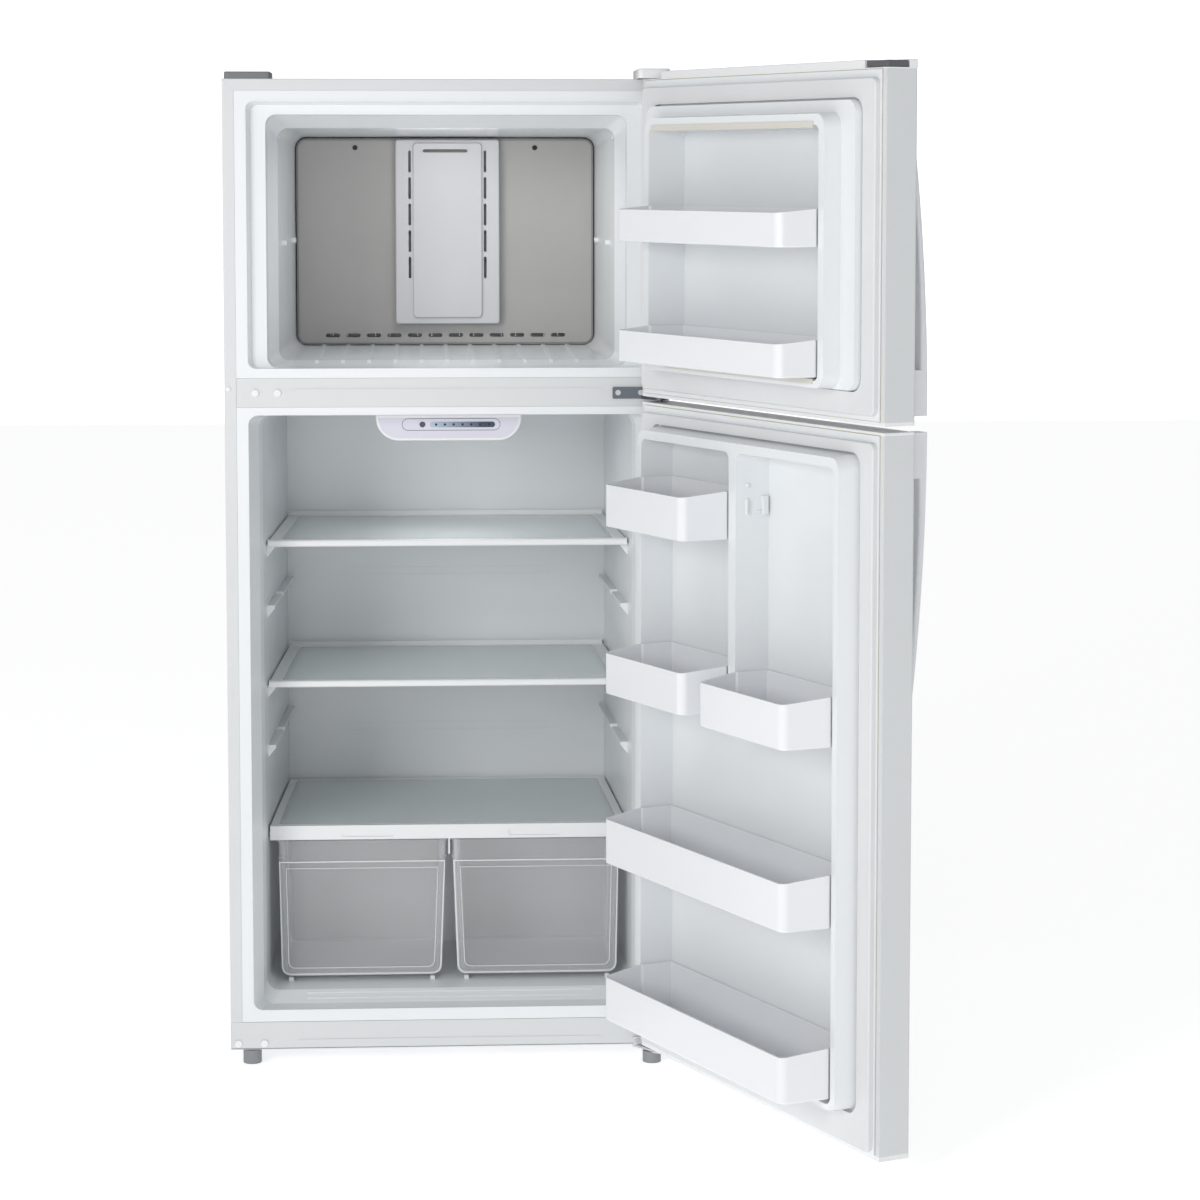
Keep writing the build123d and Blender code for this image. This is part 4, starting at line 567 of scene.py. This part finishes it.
dark_lens = surface("unlit lamp", (0.015, 0.018, 0.03), 0.2, 1500, 0.00002, 0.005)
lamp_form = bmesh.new()
for index in range(LAMP_COUNT):
    across = (-20 + LAMP_PITCH * index) * MM
    spot = Matrix.Translation((across, RECESS_Y - 0.55 * MM, 1107.3 * MM))
    start = set(lamp_form.verts)
    bmesh.ops.create_uvsphere(
        lamp_form, u_segments=16, v_segments=8, radius=LAMP_RADIUS, matrix=spot
    )
    for vert in set(lamp_form.verts) - start:
        vert.co.y = spot.translation.y + (vert.co.y - spot.translation.y) * LAMP_FLATNESS
finished_piece(lamp_form, "lamps", "cabinet", dark_lens)

# %% [markdown]
# ## Moulded lines on the drawers' fronts
# A clear drawer shows mainly by its edges.  The front of each one has two moulded lines that run
# round it and give the thin plastic its stiffness.  They follow the front, which leans back and
# narrows towards the floor, so the flat outline is drawn first and each corner is then moved to
# the depth of the leaning front.

# %% Two lines round each drawer front
LEAN = 5.0 * MM
DRAWER_HEIGHT = 246.0 * MM
LINE_THICKNESS = 1.1 * MM
# How far each corner of a front is from the cabinet's middle, in millimetres, by (outer, upper).
CORNER_REACH = {(True, True): 301, (True, False): 297.6, (False, True): 6.2, (False, False): 13.4}


def drawer_line(side, margin, corner, line):
    """One moulded line round a drawer's front, seen from the front."""
    low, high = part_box("right_crisper" if side > 0 else "left_crisper")
    top, bottom = high[2] - 36 * MM - margin, low[2] + 3 * MM + margin
    form = bmesh.new()
    bmesh.ops.create_grid(form, x_segments=1, y_segments=1, size=0.5)
    for vert in form.verts:
        upper = vert.co.y > 0
        outer = (vert.co.x > 0) == (side > 0)
        reach = CORNER_REACH[outer, upper] * MM
        across = reach - margin if outer else reach + margin
        vert.co = (side * across, 0, top if upper else bottom)
    lower = [vert for vert in form.verts if vert.co.z < (top + bottom) / 2]
    round_off(form, lower, corner, 8, "VERTICES")
    leave_ring(form, line)
    thicken(form, LINE_THICKNESS)
    for vert in form.verts:
        vert.co.y += low[1] + LINE_THICKNESS + LEAN * (high[2] - vert.co.z) / DRAWER_HEIGHT
    return form


for side, drawer_name in ((-1, "left_crisper"), (1, "right_crisper")):
    for line_name, margin, corner, line in (("outer", 1.0, 16, 3.0), ("inner", 13.0, 12, 1.5)):
        line_form = drawer_line(side, margin * MM, corner * MM, line * MM)
        piece_name = f"{drawer_name}_{line_name}_line"
        finished_piece(line_form, piece_name, drawer_name, moulded_edge)

# %% [markdown]
# ## A dark ring round the freezer's rear panel
# The panel stands a little away from the liner, and the gap round it lies in shade.  A dark ring
# on the panel's edge is painted shade for that gap.  It is the panel's own outline: a square face
# with rounded corners, inset to leave a ring, and made a little thicker than the gap.

# %% Painted shade round the panel
SHADE_RING_REACH = 1.6 * MM
SHADE_RING_CORNER = 18.6 * MM
SHADE_RING_WIDTH = 3.4 * MM

panel_low, panel_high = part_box("freezer_rear_panel")
shade_ring_form = flat_sheet(
    (panel_low[0] - SHADE_RING_REACH, panel_high[0] + SHADE_RING_REACH),
    (panel_low[2] - SHADE_RING_REACH, panel_high[2] + SHADE_RING_REACH),
)
round_off(shade_ring_form, list(shade_ring_form.verts), SHADE_RING_CORNER, 10, "VERTICES")
leave_ring(shade_ring_form, SHADE_RING_WIDTH)
thicken(shade_ring_form, 1.6 * MM)
bmesh.ops.translate(shade_ring_form, verts=shade_ring_form.verts, vec=(0, panel_low[1] + 0.4 * MM, 0))
# The ring's dark grey is painted shade for the gap between the panel and the liner.
shade_ring_paint = surface("panel gap painted shade", (0.22, 0.22, 0.22), 0.5, 900, 0.00006, 0.02)
finished_piece(shade_ring_form, "rear_panel_gap_shade", "cabinet", shade_ring_paint)

# %% [markdown]
# ## A dark block in the freezer door's top edge
# The door can be hung on either side, and its top edge has a notch at the free end.  A dark grey
# block fills the notch, partly painted shade for its shaded inside.  A door is drawn closed and
# then turned open about its hinge line, so a new piece can be made square to the door and turned
# with the same matrix.

# %% A dark block, partly painted shade, in the notch at the door's free end
DOOR_ANGLE = 114.7
HINGE = Vector((361.4 * MM, CASE_FRONT - 36 * MM, 0))
OPEN_TURN = (
    Matrix.Translation(HINGE)
    @ Matrix.Rotation(math.radians(DOOR_ANGLE), 4, "Z")
    @ Matrix.Translation(-HINGE)
)


def rounded_block(x_range, y_range, z_range, softening):
    """A block with soft edges between the given limits."""
    form = bmesh.new()
    bmesh.ops.create_cube(form, size=1.0)
    for vert in form.verts:
        vert.co.x = x_range[vert.co.x > 0]
        vert.co.y = y_range[vert.co.y > 0]
        vert.co.z = z_range[vert.co.z > 0]
    round_off(form, list(form.edges), softening, 3, "EDGES")
    return form


# Dark grey, and partly painted shade for the shaded inside of the notch.
notch_grey_and_shade = surface("notch grey and painted shade", (0.10, 0.105, 0.115), 0.5, 900, 0.00006, 0.02)
notch_block = rounded_block(
    (-379.2 * MM, -320.5 * MM),
    (CASE_FRONT - 50.5 * MM, CASE_FRONT - 13.5 * MM),
    (1699.2 * MM, 1709.5 * MM),
    1.6 * MM,
)
bmesh.ops.transform(notch_block, matrix=OPEN_TURN, verts=notch_block.verts)
finished_piece(notch_block, "door_notch_block", "freezer_door", notch_grey_and_shade)

# %% [markdown]
# ## A spare bin hanger
# The tall pocket of the fridge door has a second place for its bin.  On the real door the hanger
# is part of the moulded liner: a round stud, a short rib, and a hook with a lip.  Here they are
# small blocks with soft edges that start inside the wall, so that no gap shows behind them.

# %% Stud, rib and hook on the door's divider
hanger_blocks = (
    ("hanger_rib", (-19.0, -12.5), (12.0, 15.5), (997, 1023), 1.2),
    ("hanger_hook", (-22.5, -14.5), (-24.0, -13.0), (995, 1026), 1.6),
    ("hanger_lip", (-19.5, -14.0), (-13.5, -5.5), (998, 1002), 1.2),
    ("hanger_stud", (-18.5, -12.5), (8.5, 15.5), (1040, 1047), 2.4),
)
for block_name, x_range, depth_range, z_range, softening in hanger_blocks:
    part_form = rounded_block(
        [value * MM for value in x_range],
        [CASE_FRONT + value * MM for value in depth_range],
        [value * MM for value in z_range],
        softening * MM,
    )
    bmesh.ops.transform(part_form, matrix=OPEN_TURN, verts=part_form.verts)
    finished_piece(part_form, block_name, "fridge_door", liner_plastic)
print("details added:", len(added_pieces))
